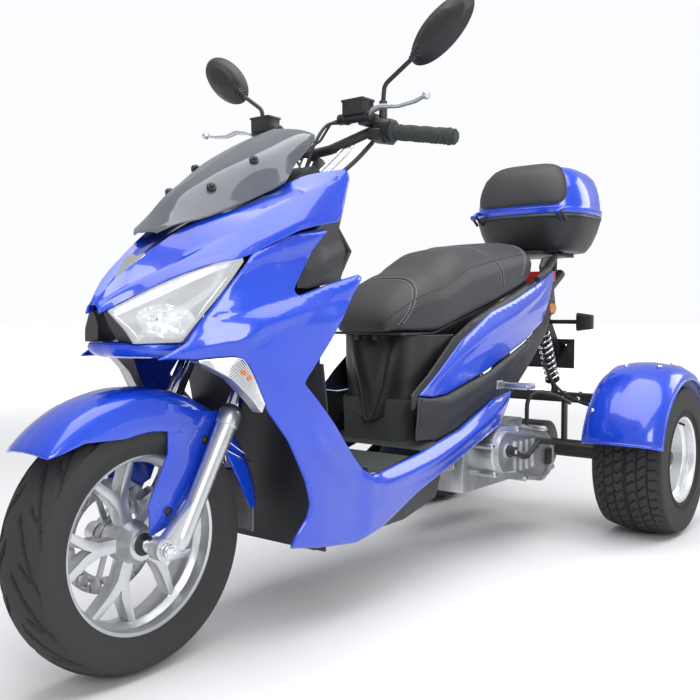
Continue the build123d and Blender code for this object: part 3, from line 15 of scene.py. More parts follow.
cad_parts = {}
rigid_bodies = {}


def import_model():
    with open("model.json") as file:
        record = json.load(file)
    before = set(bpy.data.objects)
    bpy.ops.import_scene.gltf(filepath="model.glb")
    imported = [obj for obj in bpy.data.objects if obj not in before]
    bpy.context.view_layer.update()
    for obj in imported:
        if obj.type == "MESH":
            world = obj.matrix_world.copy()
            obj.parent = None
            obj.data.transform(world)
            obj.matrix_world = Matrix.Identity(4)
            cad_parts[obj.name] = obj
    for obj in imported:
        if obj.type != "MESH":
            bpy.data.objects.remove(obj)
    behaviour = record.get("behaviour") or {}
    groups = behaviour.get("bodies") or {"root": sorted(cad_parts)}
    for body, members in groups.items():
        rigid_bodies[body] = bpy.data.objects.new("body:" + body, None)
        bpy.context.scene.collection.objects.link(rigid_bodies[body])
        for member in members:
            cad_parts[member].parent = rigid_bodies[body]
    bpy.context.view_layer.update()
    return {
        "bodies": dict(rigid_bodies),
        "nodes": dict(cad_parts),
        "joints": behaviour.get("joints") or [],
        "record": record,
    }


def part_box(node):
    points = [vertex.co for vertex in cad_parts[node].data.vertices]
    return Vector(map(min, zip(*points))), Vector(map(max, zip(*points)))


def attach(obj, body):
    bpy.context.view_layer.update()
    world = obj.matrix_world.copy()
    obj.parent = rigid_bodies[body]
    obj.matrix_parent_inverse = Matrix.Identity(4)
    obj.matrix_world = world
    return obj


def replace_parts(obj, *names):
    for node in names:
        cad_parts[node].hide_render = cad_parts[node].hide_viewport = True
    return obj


LOG = logging.getLogger("trike")
Point = tuple[float, float, float]
MILLIMETRES = 1000.0
SIDES: tuple[tuple[int, str], ...] = ((1, "left"), (-1, "right"))


# ---------------------------------------------------------------------------------------------------
# Finishes
# ---------------------------------------------------------------------------------------------------
class Graph:
    """A material's node tree with short ways to add and join nodes."""

    def __init__(self, name: str) -> None:
        """Start an empty node material that holds one principled shader."""
        self.material = bpy.data.materials.new(name)
        self.material.use_nodes = True
        self.tree = self.material.node_tree
        self.shader = self.tree.nodes["Principled BSDF"]
        self.place = self.tree.nodes.new("ShaderNodeTexCoord").outputs["Object"]

    def set(self, **values: object) -> None:
        """Set shader sockets, with underscores for the spaces in their names."""
        for key, value in values.items():
            self.shader.inputs[key.replace("_", " ")].default_value = value

    def link(self, source: bpy.types.NodeSocket, target: bpy.types.NodeSocket) -> None:
        """Join two sockets."""
        self.tree.links.new(source, target)

    def feed(self, source: bpy.types.NodeSocket, socket: str) -> None:
        """Join a socket to one of the shader's inputs."""
        self.link(source, self.shader.inputs[socket])

    def noise(self, scale: float, detail: float = 4.0, stretch: Point = (1, 1, 1)) -> bpy.types.NodeSocket:
        """Add a noise pattern.

        Args:
            scale: Cells per metre.
            detail: Number of finer layers.
            stretch: How much the pattern is squeezed along each axis.

        Returns:
            The pattern's value from 0 to 1.
        """
        mapping = self.tree.nodes.new("ShaderNodeMapping")
        mapping.inputs["Scale"].default_value = stretch
        self.link(self.place, mapping.inputs["Vector"])
        node = self.tree.nodes.new("ShaderNodeTexNoise")
        node.inputs["Scale"].default_value = scale
        node.inputs["Detail"].default_value = detail
        self.link(mapping.outputs["Vector"], node.inputs["Vector"])
        return node.outputs["Fac"]

    def cells(self, scale: float) -> bpy.types.NodeSocket:
        """Add a pattern of rounded cells and return its distance value."""
        node = self.tree.nodes.new("ShaderNodeTexVoronoi")
        node.inputs["Scale"].default_value = scale
        self.link(self.place, node.inputs["Vector"])
        return node.outputs["Distance"]

    def ramp(self, source: bpy.types.NodeSocket, low: Sequence[float], high: Sequence[float],
             start: float = 0.3, end: float = 0.7) -> bpy.types.NodeSocket:
        """Turn a value into a colour between two.

        Args:
            source: The value that drives it.
            low: Colour at and below start.
            high: Colour at and above end.
            start: Value where the low colour ends.
            end: Value where the high colour begins.

        Returns:
            The colour socket.
        """
        node = self.tree.nodes.new("ShaderNodeValToRGB")
        first, last = node.color_ramp.elements
        first.position, last.position = start, end
        first.color = (*low[:3], 1.0)
        last.color = (*high[:3], 1.0)
        self.link(source, node.inputs["Fac"])
        return node.outputs["Color"]

    def spread(self, source: bpy.types.NodeSocket, low: float, high: float) -> bpy.types.NodeSocket:
        """Map a value from 0 to 1 onto another span."""
        node = self.tree.nodes.new("ShaderNodeMapRange")
        node.inputs["To Min"].default_value = low
        node.inputs["To Max"].default_value = high
        self.link(source, node.inputs["Value"])
        return node.outputs["Result"]

    def edges(self, start: float = 0.52, end: float = 0.6) -> bpy.types.NodeSocket:
        """Return a mask of the convex edges, for wear."""
        geometry = self.tree.nodes.new("ShaderNodeNewGeometry")
        return self.ramp(geometry.outputs["Pointiness"], (0, 0, 0), (1, 1, 1), start, end)

    def mix(self, mask: bpy.types.NodeSocket, a: bpy.types.NodeSocket | Sequence[float],
            b: bpy.types.NodeSocket | Sequence[float]) -> bpy.types.NodeSocket:
        """Mix two colours, each a socket or a fixed colour, by a mask."""
        node = self.tree.nodes.new("ShaderNodeMix")
        node.data_type = "RGBA"
        self.link(mask, node.inputs["Factor"])
        for name, value in (("A", a), ("B", b)):
            socket = next(s for s in node.inputs if s.name == name and s.type == "RGBA")
            if isinstance(value, bpy.types.NodeSocket):
                self.link(value, socket)
            else:
                socket.default_value = (*value[:3], 1.0)
        return next(s for s in node.outputs if s.type == "RGBA")

    def bump(self, source: bpy.types.NodeSocket, strength: float, distance: float = 0.001) -> None:
        """Add a relief, on top of any that the shader already has."""
        node = self.tree.nodes.new("ShaderNodeBump")
        node.inputs["Strength"].default_value = strength
        node.inputs["Distance"].default_value = distance
        self.link(source, node.inputs["Height"])
        before = self.shader.inputs["Normal"].links
        if before:
            self.link(before[0].from_socket, node.inputs["Normal"])
        self.feed(node.outputs["Normal"], "Normal")


@dataclass(frozen=True)
class Paint:
    """Clear-coated paint with a faint orange peel."""

    name: str
    colour: Point
    deep: Point

    def build(self) -> bpy.types.Material:
        """Make the node material."""
        g = Graph(self.name)
        drift = g.noise(5.0, 2.0)
        g.feed(g.ramp(drift, self.deep, self.colour), "Base Color")
        g.feed(g.spread(g.noise(60.0, 3.0), 0.24, 0.34), "Roughness")
        g.set(Coat_Weight=1.0, Coat_Roughness=0.035, Specular_IOR_Level=0.5)
        g.bump(g.noise(900.0, 1.0), 0.018)
        return g.material


@dataclass(frozen=True)
class Moulding:
    """Grained plastic or rubber with scuffed edges."""

    name: str
    colour: Point
    light: Point
    rough: tuple[float, float]
    grain: float = 1400.0
    relief: float = 0.12

    def build(self) -> bpy.types.Material:
        """Make the node material."""
        g = Graph(self.name)
        body = g.ramp(g.noise(14.0, 5.0), self.colour, self.light, 0.25, 0.75)
        g.feed(g.mix(g.edges(0.53, 0.66), body, tuple(min(1.0, c * 2.2 + 0.01) for c in self.light)), "Base Color")
        g.feed(g.spread(g.noise(40.0, 4.0), *self.rough), "Roughness")
        g.bump(g.cells(self.grain), self.relief, 0.0006)
        g.bump(g.noise(self.grain * 0.3, 2.0), self.relief * 0.5, 0.0006)
        return g.material


@dataclass(frozen=True)
class Vinyl:
    """Seat covering with a leather grain and soft sheen."""

    name: str
    colour: Point
    light: Point

    def build(self) -> bpy.types.Material:
        """Make the node material."""
        g = Graph(self.name)
        g.feed(g.ramp(g.noise(9.0, 4.0), self.colour, self.light), "Base Color")
        g.feed(g.spread(g.noise(70.0, 4.0), 0.42, 0.56), "Roughness")
        g.set(Sheen_Weight=0.15, Sheen_Roughness=0.5, Specular_IOR_Level=0.42)
        g.bump(g.cells(520.0), 0.22, 0.0009)
        g.bump(g.noise(240.0, 5.0), 0.16, 0.0009)
        return g.material


@dataclass(frozen=True)
class Metal:
    """Bare or plated metal with fine tool marks."""

    name: str
    colour: Point
    dull: Point
    rough: tuple[float, float]
    metallic: float = 1.0
    marks: float = 260.0
    relief: float = 0.05
    stretch: Point = (1.0, 1.0, 1.0)

    def build(self) -> bpy.types.Material:
        """Make the node material."""
        g = Graph(self.name)
        soil = g.noise(22.0, 6.0)
        tone = g.ramp(soil, self.dull, self.colour, 0.28, 0.62)
        g.feed(g.mix(g.edges(0.54, 0.7), tone, tuple(min(1.0, c * 1.25) for c in self.colour)), "Base Color")
        g.feed(g.spread(g.noise(self.marks, 4.0, self.stretch), *self.rough), "Roughness")
        g.set(Metallic=self.metallic)
        g.bump(g.noise(self.marks * 2.0, 3.0, self.stretch), self.relief, 0.0006)
        return g.material


@dataclass(frozen=True)
class Clear:
    """Clear or tinted plastic: lenses."""

    name: str
    tint: Point
    passing: float
    rough: float = 0.03

    def build(self) -> bpy.types.Material:
        """Make the node material."""
        g = Graph(self.name)
        g.feed(g.ramp(g.noise(6.0, 2.0), self.tint, tuple(c * 0.93 for c in self.tint)), "Base Color")
        g.feed(g.spread(g.noise(80.0, 3.0), self.rough, self.rough * 1.6), "Roughness")
        g.set(Transmission_Weight=0.0 if self.passing >= 1 else self.passing, IOR=1.45, Coat_Weight=0.6,
              Coat_Roughness=0.02, Alpha=0.3 if self.passing >= 1 else 1.0)
        g.bump(g.noise(300.0, 2.0), 0.01)
        return g.material


@dataclass(frozen=True)
class Tread:
    """Tyre rubber with a dusty bloom and fine scuffs."""

    name: str
    colour: Point
    dust: Point

    def build(self) -> bpy.types.Material:
        """Make the node material."""
        g = Graph(self.name)
        base = g.ramp(g.noise(30.0, 6.0), self.colour, self.dust, 0.35, 0.9)
        g.feed(g.mix(g.edges(0.53, 0.62), base, tuple(c * 1.8 for c in self.dust)), "Base Color")
        g.feed(g.spread(g.noise(90.0, 4.0), 0.62, 0.85), "Roughness")
        g.bump(g.noise(700.0, 5.0), 0.2, 0.0008)
        return g.material


@dataclass(frozen=True)
class Ground:
    """Pale studio floor with a faint mottle."""

    name: str
    colour: Point

    def build(self) -> bpy.types.Material:
        """Make the node material."""
        g = Graph(self.name)
        g.feed(g.ramp(g.noise(1.5, 3.0), self.colour, tuple(c * 0.985 for c in self.colour)), "Base Color")
        g.feed(g.spread(g.noise(30.0, 3.0), 0.55, 0.7), "Roughness")
        g.bump(g.noise(400.0, 3.0), 0.02)
        nodes, links = g.material.node_tree.nodes, g.material.node_tree.links
        place, reach = nodes.new("ShaderNodeNewGeometry"), nodes.new("ShaderNodeVectorMath")
        reach.operation = "LENGTH"
        fade = nodes.new("ShaderNodeMapRange")
        fade.interpolation_type = "SMOOTHSTEP"
        for socket, value in (("From Min", 1.6), ("From Max", 7.0), ("To Min", 0.0), ("To Max", 0.8)):
            fade.inputs[socket].default_value = value
        links.new(place.outputs["Position"], reach.inputs[0])
        links.new(reach.outputs["Value"], fade.inputs["Value"])
        g.feed(fade.outputs["Result"], "Emission Strength")
        g.set(Emission_Color=(0.97, 0.98, 1.0, 1.0))
        return g.material


class Look(Enum):
    """Every finish on the machine and its stage."""

    BLUE = Paint("blue_gloss", (0.004, 0.058, 0.62), (0.003, 0.042, 0.52))
    BLACK = Moulding("black_moulding", (0.008, 0.009, 0.010), (0.016, 0.017, 0.019), (0.38, 0.5))
    MAT = Moulding("floor_rubber", (0.017, 0.018, 0.019), (0.028, 0.029, 0.03), (0.5, 0.62), 900.0, 0.2)
    FLAP = Moulding("flap_rubber", (0.10, 0.105, 0.11), (0.15, 0.155, 0.16), (0.4, 0.5), 800.0)
    SCREEN = Moulding("screen_tint", (0.10, 0.105, 0.125), (0.12, 0.125, 0.145), (0.05, 0.09), 2200.0, 0.004)
    LENS = Clear("clear_lens", (0.012, 0.012, 0.014), 1.0, 0.004)
    BOWL = Metal("lamp_bowl", (0.86, 0.87, 0.9), (0.7, 0.72, 0.75), (0.06, 0.12))
    RED = Clear("red_lens", (0.5, 0.008, 0.012), 0.35, 0.08)
    AMBER = Clear("amber_lens", (0.85, 0.28, 0.04), 0.3, 0.08)
    VINYL = Vinyl("seat_vinyl", (0.017, 0.018, 0.02), (0.027, 0.028, 0.031))
    THREAD = Moulding("light_thread", (0.12, 0.125, 0.13), (0.18, 0.185, 0.19), (0.6, 0.7), 3000.0)
    TYRE = Tread("tyre_rubber", (0.009, 0.009, 0.01), (0.02, 0.02, 0.021))
    SILVER = Metal("cast_silver", (0.66, 0.67, 0.68), (0.54, 0.55, 0.56), (0.26, 0.36), 0.85)
    POLISHED = Metal("polished_alloy", (0.86, 0.86, 0.85), (0.76, 0.76, 0.75), (0.1, 0.2), 1.0, 320.0, 0.03,
                     (0.2, 6.0, 0.2))
    CASTING = Metal("sand_casting", (0.52, 0.53, 0.54), (0.36, 0.37, 0.38), (0.34, 0.5), 0.9, 420.0, 0.25)
    CHROME = Metal("bright_chrome", (0.82, 0.83, 0.85), (0.7, 0.71, 0.73), (0.06, 0.12))
    DISC = Metal("disc_steel", (0.5, 0.5, 0.51), (0.4, 0.4, 0.41), (0.22, 0.34), 1.0, 500.0, 0.08)
    STEEL = Metal("black_steel", (0.03, 0.031, 0.033), (0.018, 0.018, 0.02), (0.3, 0.44), 0.3, 300.0, 0.06)
    GLASS = Metal("mirror_glass", (0.8, 0.82, 0.84), (0.74, 0.76, 0.78), (0.02, 0.05))
    FLOOR = Ground("studio_floor", (0.86, 0.86, 0.87))

    @property
    def material(self) -> bpy.types.Material:
        """The finish's material, made when it is first asked for."""
        known = bpy.data.materials.get(self.value.name)
        return known or self.value.build()


SLOT_LOOKS: dict[str, Look] = {
    "blue_paint": Look.BLUE, "black_plastic": Look.BLACK, "floor_rubber": Look.MAT,
    "smoked_screen": Look.SCREEN, "clear_lens": Look.LENS, "lamp_reflector": Look.BOWL,
    "red_lens": Look.RED, "seat_vinyl": Look.VINYL, "tyre_rubber": Look.TYRE, "cast_silver": Look.SILVER,
    "polished_alloy": Look.POLISHED, "engine_casting": Look.CASTING, "chromed_steel": Look.CHROME,
    "disc_steel": Look.DISC, "black_steel": Look.STEEL,
}
NODE_LOOKS: dict[str, Look] = {"fender_flap": Look.FLAP, "front_indicators": Look.DISC, "handlebar": Look.STEEL}


# ---------------------------------------------------------------------------------------------------
# Mesh making
# ---------------------------------------------------------------------------------------------------
class Maker:
    """Turns points into named pieces that ride on the machine's bodies."""

    def __init__(self) -> None:
        """Read where the axles are from the frame."""
        low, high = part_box("rear_rim_left")
        self.rear_x = (low.x + high.x) / 2
        low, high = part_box("front_rim")
        self.front_axle = (low + high) / 2

    def at(self, ahead: float, y: float, z: float) -> Vector:
        """Place a point given in millimetres ahead of the rear axle, to the left and above the floor."""
        return Vector((self.rear_x + ahead / MILLIMETRES, y / MILLIMETRES, z / MILLIMETRES))

    def piece(self, name: str, verts: Sequence[Sequence[float]], faces: Sequence[Sequence[int]], body: str,
              look: Look, smooth: float = 35.0) -> bpy.types.Object:
        """Make a mesh piece.

        Args:
            name: Piece name.
            verts: Corner places in metres.
            faces: Corner numbers of each face.
            body: The body that it rides on.
            look: Its finish.
            smooth: Faces that meet at less than this angle, in degrees, are shaded as one.

        Returns:
            The new object.
        """
        mesh = bpy.data.meshes.new(name)
        mesh.from_pydata([tuple(v) for v in verts], [], [tuple(f) for f in faces])
        mesh.update()
        made = bpy.data.objects.new(name, mesh)
        bpy.context.scene.collection.objects.link(made)
        fix = bmesh.new()
        fix.from_mesh(mesh)
        bmesh.ops.recalc_face_normals(fix, faces=fix.faces)
        fix.to_mesh(mesh)
        fix.free()
        mesh.shade_smooth()
        mesh.set_sharp_from_angle(angle=math.radians(smooth))
        mesh.materials.append(look.material)
        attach(made, body)
        return made

    def join(self, name: str, shapes: Sequence[tuple[list, list]], body: str, look: Look,
             smooth: float = 35.0) -> bpy.types.Object:
        """Make one piece from several separate shapes, each a pair of corners and faces."""
        verts: list = []
        faces: list = []
        for corners, sides in shapes:
            start = len(verts)
            verts.extend(corners)
            faces.extend(tuple(start + i for i in side) for side in sides)
        return self.piece(name, verts, faces, body, look, smooth)

    def add(self, name: str, shapes: Sequence[tuple[list, list]], body: str, look: Look, slot: str,
            smooth: float = 35.0) -> bpy.types.Object:
        """Make one piece from several shapes."""
        made = self.join(name, shapes, body, look, smooth)
        return made

    def both(self, name: str, make: Callable[[int], list[tuple[list, list]]], body: str, look: Look,
             smooth: float = 35.0) -> bpy.types.Object:
        """Make one piece from the shapes that make returns for the left (1) and the right (-1)."""
        return self.join(name, [shape for side in (1, -1) for shape in make(side)], body, look, smooth)


def grid(rings: Sequence[Sequence[Sequence[float]]], closed: bool = True, caps: bool = True,
         around: bool = False) -> tuple[list, list]:
    """Join rings of points into a skin.

    Args:
        rings: Rings with equal numbers of points.
        closed: Each ring's last point joins its first.
        caps: Close the two end rings with a face.
        around: The last ring joins the first.

    Returns:
        Corners and faces.
    """
    count = len(rings[0])
    verts = [tuple(p) for ring in rings for p in ring]
    faces: list = []
    last = len(rings) if around else len(rings) - 1
    for i in range(last):
        a, b = i * count, ((i + 1) % len(rings)) * count
        for j in range(count if closed else count - 1):
            k = (j + 1) % count
            faces.append((a + j, a + k, b + k, b + j))
    if caps and closed and not around:
        faces.append(tuple(range(count))[::-1])
        faces.append(tuple((len(rings) - 1) * count + j for j in range(count)))
    return verts, faces


def across(direction: Vector) -> tuple[Vector, Vector]:
    """Return two directions square to the given one and to each other."""
    aside = Vector((0, 0, 1)) if abs(direction.z) < 0.9 else Vector((1, 0, 0))
    u = direction.cross(aside).normalized()
    return u, direction.cross(u).normalized()


def smooth_path(points: Sequence[Vector], steps: int = 8) -> list[Vector]:
    """Run a smooth line through points."""
    ends = [points[0] * 2 - points[1], *points, points[-1] * 2 - points[-2]]
    out: list[Vector] = []
    for a, b, c, d in zip(ends, ends[1:], ends[2:], ends[3:]):
        for i in range(steps):
            t = i / steps
            out.append(0.5 * ((2 * b) + (c - a) * t + (2 * a - 5 * b + 4 * c - d) * t * t
                              + (3 * b - a - 3 * c + d) * t ** 3))
    return out + [points[-1]]


def pipe(points: Sequence[Vector], radius: float | Sequence[float], sides: int = 12) -> tuple[list, list]:
    """Make a round tube along points, with one radius or one for each point."""
    sizes = [radius] * len(points) if isinstance(radius, (int, float)) else list(radius)
    rings = []
    u = None
    for i, p in enumerate(points):
        d = (points[min(i + 1, len(points) - 1)] - points[max(i - 1, 0)]).normalized()
        if u is None:
            u = across(d)[0]
        u = (u - d * u.dot(d)).normalized()
        v = d.cross(u)
        rings.append([p + (u * math.cos(a) + v * math.sin(a)) * sizes[i]
                      for a in turns(sides)])
    return grid(rings)


def turned(base: Vector, direction: Vector, profile: Sequence[tuple[float, float]], sides: int = 24
           ) -> tuple[list, list]:
    """Make a turned shape.

    Args:
        base: Where its axis starts.
        direction: Which way the axis runs.
        profile: Distance along the axis and radius, both in metres.
        sides: Number of faces around it.

    Returns:
        Corners and faces.
    """
    d = direction.normalized()
    u, v = across(d)
    rings = [[base + d * along + (u * math.cos(a) + v * math.sin(a)) * max(r, 0.00005)
              for a in turns(sides)] for along, r in profile]
    return grid(rings)


def bolt(base: Vector, direction: Vector, size: float, socket: bool = False) -> list[tuple[list, list]]:
    """Make a screw head with its washer, domed or with a six-sided nut."""
    d = direction.normalized()
    shapes = [turned(base, d, [(0, size * 1.35), (size * 0.18, size * 1.35), (size * 0.26, size * 1.2)], 20)]
    if socket:
        shapes.append(turned(base, d, [(0, size), (size * 0.5, size * 0.94), (size * 0.75, size * 0.7),
                                       (size * 0.84, size * 0.4), (size * 0.6, size * 0.36), (size * 0.55, 0)], 18))
    else:
        shapes.append(turned(base, d, [(0, size), (size * 0.75, size), (size * 0.86, size * 0.86)], 6))
    return shapes


def bevelled(obj: bpy.types.Object, width: float, segments: int = 2, angle: float = 40.0) -> bpy.types.Object:
    """Round an object's sharp edges with modifiers."""
    weld = obj.modifiers.new("weld", "WELD")
    weld.merge_threshold = 0.00002
    soft = obj.modifiers.new("bevel", "BEVEL")
    soft.width = width
    soft.segments = segments
    soft.limit_method = "ANGLE"
    soft.angle_limit = math.radians(angle)
    soft.harden_normals = True
    return obj


def subdivided(obj: bpy.types.Object, levels: int) -> bpy.types.Object:
    """Smooth an object with a subdivision surface."""
    soft = obj.modifiers.new("smooth", "SUBSURF")
    soft.levels = levels
    soft.render_levels = levels
    return obj


def turns(count: int) -> list[float]:
    """Return equal steps of one turn, in radians."""
    return [math.tau * i / count for i in range(count)]


def swell(value: float, power: float) -> float:
    """Raise a sine or cosine to a power and keep its sign, which squares off a circle."""
    return math.copysign(abs(value) ** power, value)


def walled(obj: bpy.types.Object, thickness: float, offset: float = -1.0) -> bpy.types.Object:
    """Thicken a sheet: inwards, or to both sides with an offset of 0."""
    wall = obj.modifiers.new("wall", "SOLIDIFY")
    wall.thickness = thickness
    wall.offset = offset
    return obj


def hoop(centre: Vector, out: Vector, radius: float, size: float, count: int = 96) -> tuple[list, list]:
    """Make a thin ring of the given radius and bead size, square to out, which runs along a wheel's axle."""
    rings = []
    for a in turns(count):
        d = Vector((math.cos(a), 0, math.sin(a)))
        p = centre + d * radius
        rings.append([p + d * math.cos(b) * size + out * math.sin(b) * size
                      for b in turns(8)])
    return grid(rings, around=True)


# ---------------------------------------------------------------------------------------------------
# The frame's own nodes
# ---------------------------------------------------------------------------------------------------
@dataclass
class CadDressing:
    """Materials and softened edges on every node of the frame."""

    frame: dict
    bevel: float = 0.0006
    wide: dict[str, float] = field(default_factory=lambda: {
        "front_rim": 0.0012, "engine_block": 0.0016, "floorboard": 0.0012, "front_fender": 0.001,
        "rear_fenders": 0.001, "variator_cover": 0.0022})

    def build(self) -> None:
        """Dress each node with its slot's finish."""
        slots = {row["node"]: row["material_slot"] for row in self.frame["record"]["subparts"]}
        for name, node in self.frame["nodes"].items():
            look = NODE_LOOKS.get(name, SLOT_LOOKS[slots[name]])
            node.data.materials.clear()
            node.data.materials.append(look.material)
            node.data.shade_smooth()
            node.data.set_sharp_from_angle(angle=math.radians(24))
            bevelled(node, self.wide.get(name, self.bevel))
            if name == "front_fender":
                node.modifiers["bevel"].angle_limit = math.radians(55)


# ---------------------------------------------------------------------------------------------------
# Wheels
# ---------------------------------------------------------------------------------------------------
class TreadKind(Enum):
    """The two tread patterns."""

    SWEPT = "swept"
    BLOCKS = "blocks"


@dataclass
class TyreSkin:
    """One tyre with its tread cut into the skin."""

    node: str
    body: str
    kind: TreadKind
    radius: float
    width: float
    bead: float
    rim_half: float
    slices: int = 432
    depth: float = 0.007

    def section(self) -> list[tuple[float, float, float]]:
        """Return (sideways place, radius, tread share) from one bead to the other."""
        half = self.width / 2
        points = [(self.rim_half * 0.97, self.bead, 0.0), (self.rim_half + 0.001, self.bead + 0.006, 0.0)]
        wall = 9
        shoulder = half * 0.86
        crown_drop = 0.016 if self.kind is TreadKind.SWEPT else 0.011
        top = self.radius - crown_drop - 0.004
        for i in range(wall):
            t = (i + 1) / wall
            y = self.rim_half + 0.001 + (half - self.rim_half) * math.sin(t * math.pi * 0.72) / math.sin(
                math.pi * 0.5)
            points.append((min(y, half - 0.0005), self.bead + 0.008 + (top - self.bead - 0.014) * t, 0.0))
        band = 26
        for i in range(band + 1):
            t = i / band
            y = shoulder * (1 - t) + (half - 0.0025 - shoulder) * (1 - t) ** 6
            r = self.radius - crown_drop * (y / shoulder) ** 2.2 - 0.0003
            points.append((y, min(r, self.radius - 0.0003), min(1.0, t * 9)))
        return points + [(-y, r, s) for y, r, s in points[-2::-1]]

    def groove(self, turn: float, y: float) -> float:
        """Return how deep the tread is cut, from 0 to 1, at a share of a turn and a sideways place."""
        v = y / (self.width / 2)
        if self.kind is TreadKind.SWEPT:
            side = 0.5 if v > 0 else 0.0
            sweep = (abs(v) ** 1.6) * 1.7
            phase = (turn * 16 + side + sweep) % 1.0
            cut = 1.0 if abs(phase - 0.5) < 0.115 and abs(v) > 0.16 else 0.0
            second = (turn * 16 + side + 0.5 + abs(v) * 0.9) % 1.0
            if abs(second - 0.5) < 0.07 and 0.42 < abs(v) < 0.86:
                cut = 1.0
            return cut
        pitch = turn * 46
        if abs(abs(v) - 0.03) < 0.016 or abs(abs(v) - 0.34) < 0.02 or abs(abs(v) - 0.62) < 0.016:
            return 1.0
        wave = 0.18 * math.sin(v * 21)
        shift = 0.5 if 0.34 < abs(v) < 0.62 else 0.0
        slant = abs(v) * 2.2 if abs(v) > 0.62 else 0.0
        return 0.85 if abs((pitch + wave + shift + slant) % 1.0 - 0.5) < 0.085 else 0.0

    def build(self, make: Maker) -> bpy.types.Object:
        """Make the skin and let it stand for the frame's tyre."""
        low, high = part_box(self.node)
        centre = (low + high) / 2
        section = self.section()
        rings = []
        for i in range(self.slices):
            turn = i / self.slices
            a = math.tau * turn
            ring = []
            for y, r, share in section:
                cut = self.groove(turn, y) * share * self.depth
                rr = r - cut
                ring.append((centre.x + rr * math.cos(a), centre.y + y, centre.z + rr * math.sin(a)))
            rings.append(ring)
        verts, faces = grid(rings, closed=False, caps=False, around=True)
        made = make.piece(f"{self.node}_skin", verts, faces, self.body, Look.TYRE, 40)
        self.mark_walls(make, centre)
        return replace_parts(made, self.node)

    def mark_walls(self, make: Maker, centre: Vector) -> None:
        """Add the raised guard rings on both side walls."""
        shapes = []
        for side in (1, -1):
            for r, y in ((self.bead + 0.013, self.rim_half + 0.0035), (self.bead + 0.019, self.rim_half + 0.0055)):
                shapes.append(hoop(centre + Vector((0, side * y, 0)), Vector((0, 1, 0)), r, 0.0012))
        make.add(f"{self.node}_guard_rings", shapes, self.body, Look.TYRE, "tyre_rubber")


@dataclass
class WheelTrim:
    """Nuts, caps, valves and seals of the three wheels."""

    lug_circle: float = 0.05
    lug_count: int = 4

    def rear(self, make: Maker, side: int, word: str) -> None:
        """Dress one rear wheel: centre cap, lug nuts, valve and rim step rings."""
        low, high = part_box(f"rear_rim_{word}")
        centre = (low + high) / 2
        out = Vector((0, side, 0))
        face = centre + Vector((0, side * 0.0262, 0))
        nuts = []
        for i in range(self.lug_count):
            a = math.tau * (i + 0.5) / self.lug_count
            spot = face + Vector((math.cos(a), 0, math.sin(a))) * self.lug_circle
            nuts.append(turned(spot, out, [(0, 0.011), (0.004, 0.011), (0.004, 0.0095), (0.018, 0.009),
                                           (0.023, 0.006), (0.024, 0)], 6))
        make.add(f"rear_lug_nuts_{word}", nuts, f"rear_wheel_{word}", Look.CHROME, "chromed_steel")
        cap = [turned(face + out * 0.018, out, [(0, 0.024), (0.012, 0.0235), (0.017, 0.02), (0.019, 0.01), (0.0195, 0)],
                      40)]
        make.add(f"rear_centre_cap_{word}", cap, f"rear_wheel_{word}", Look.STEEL, "black_steel")
        steps = []
        for r, y, size in ((0.1265, 0.094, 0.0022), (0.118, 0.075, 0.0016)):
            steps.append(hoop(centre + out * y, out, r, size))
        make.add(f"rear_rim_steps_{word}", steps, f"rear_wheel_{word}", Look.POLISHED, "polished_alloy")
        stem = [pipe([centre + Vector((0, side * 0.07, 0.118)), centre + Vector((0, side * 0.088, 0.108)),
                      centre + Vector((0, side * 0.1, 0.104))], [0.0045, 0.004, 0.0035], 10)]
        make.add(f"rear_valve_{word}", stem, f"rear_wheel_{word}", Look.STEEL, "black_steel")

    def front(self, make: Maker) -> None:
        """Dress the front wheel: hub seals, rim lips, disc bolts, valve and the axle nuts on the fork."""
        c = make.front_axle
        shapes, bolts = [], []
        for side in (1, -1):
            out = Vector((0, side, 0))
            shapes.append(turned(c + out * 0.0452, out, [(0, 0.021), (0.0005, 0.0212), (0.0025, 0.019),
                                                         (0.0025, 0.0135)], 32))
        make.add("front_hub_seals", shapes, "front_wheel", Look.STEEL, "black_steel")
        for i in range(5):
            a = math.tau * i / 5
            spot = c + Vector((math.cos(a) * 0.036, -0.0585, math.sin(a) * 0.036))
            bolts += bolt(spot, Vector((0, -1, 0)), 0.0042, True)
        make.add("front_disc_bolts", bolts, "front_wheel", Look.CHROME, "chromed_steel")
        lips = []
        for side in (1, -1):
            for r, y, size in ((0.1765, 0.0495, 0.0022), (0.166, 0.045, 0.0013)):
                out = Vector((0, side, 0))
                lips.append(hoop(c + out * y, out, r, size, 120))
        make.add("front_rim_lips", lips, "front_wheel", Look.SILVER, "cast_silver")
        stem = [pipe([c + Vector((0.152, 0.004, 0.02)), c + Vector((0.136, 0.006, 0.018))], [0.0045, 0.0036], 10)]
        make.add("front_valve", stem, "front_wheel", Look.STEEL, "black_steel")
        nuts = []
        for side in (1, -1):
            out = Vector((0, side, 0))
            end = c + out * 0.119
            nuts.append(turned(end, out, [(0, 0.0115), (0.002, 0.012), (0.0035, 0.0115), (0.0035, 0.0095),
                                          (0.0012, 0.009), (0.0012, 0)], 6))
        make.add("front_axle_nuts", nuts, "steering", Look.CHROME, "chromed_steel")

    def build(self, make: Maker) -> None:
        """Dress all three wheels."""
        self.front(make)
        for side, word in SIDES:
            self.rear(make, side, word)


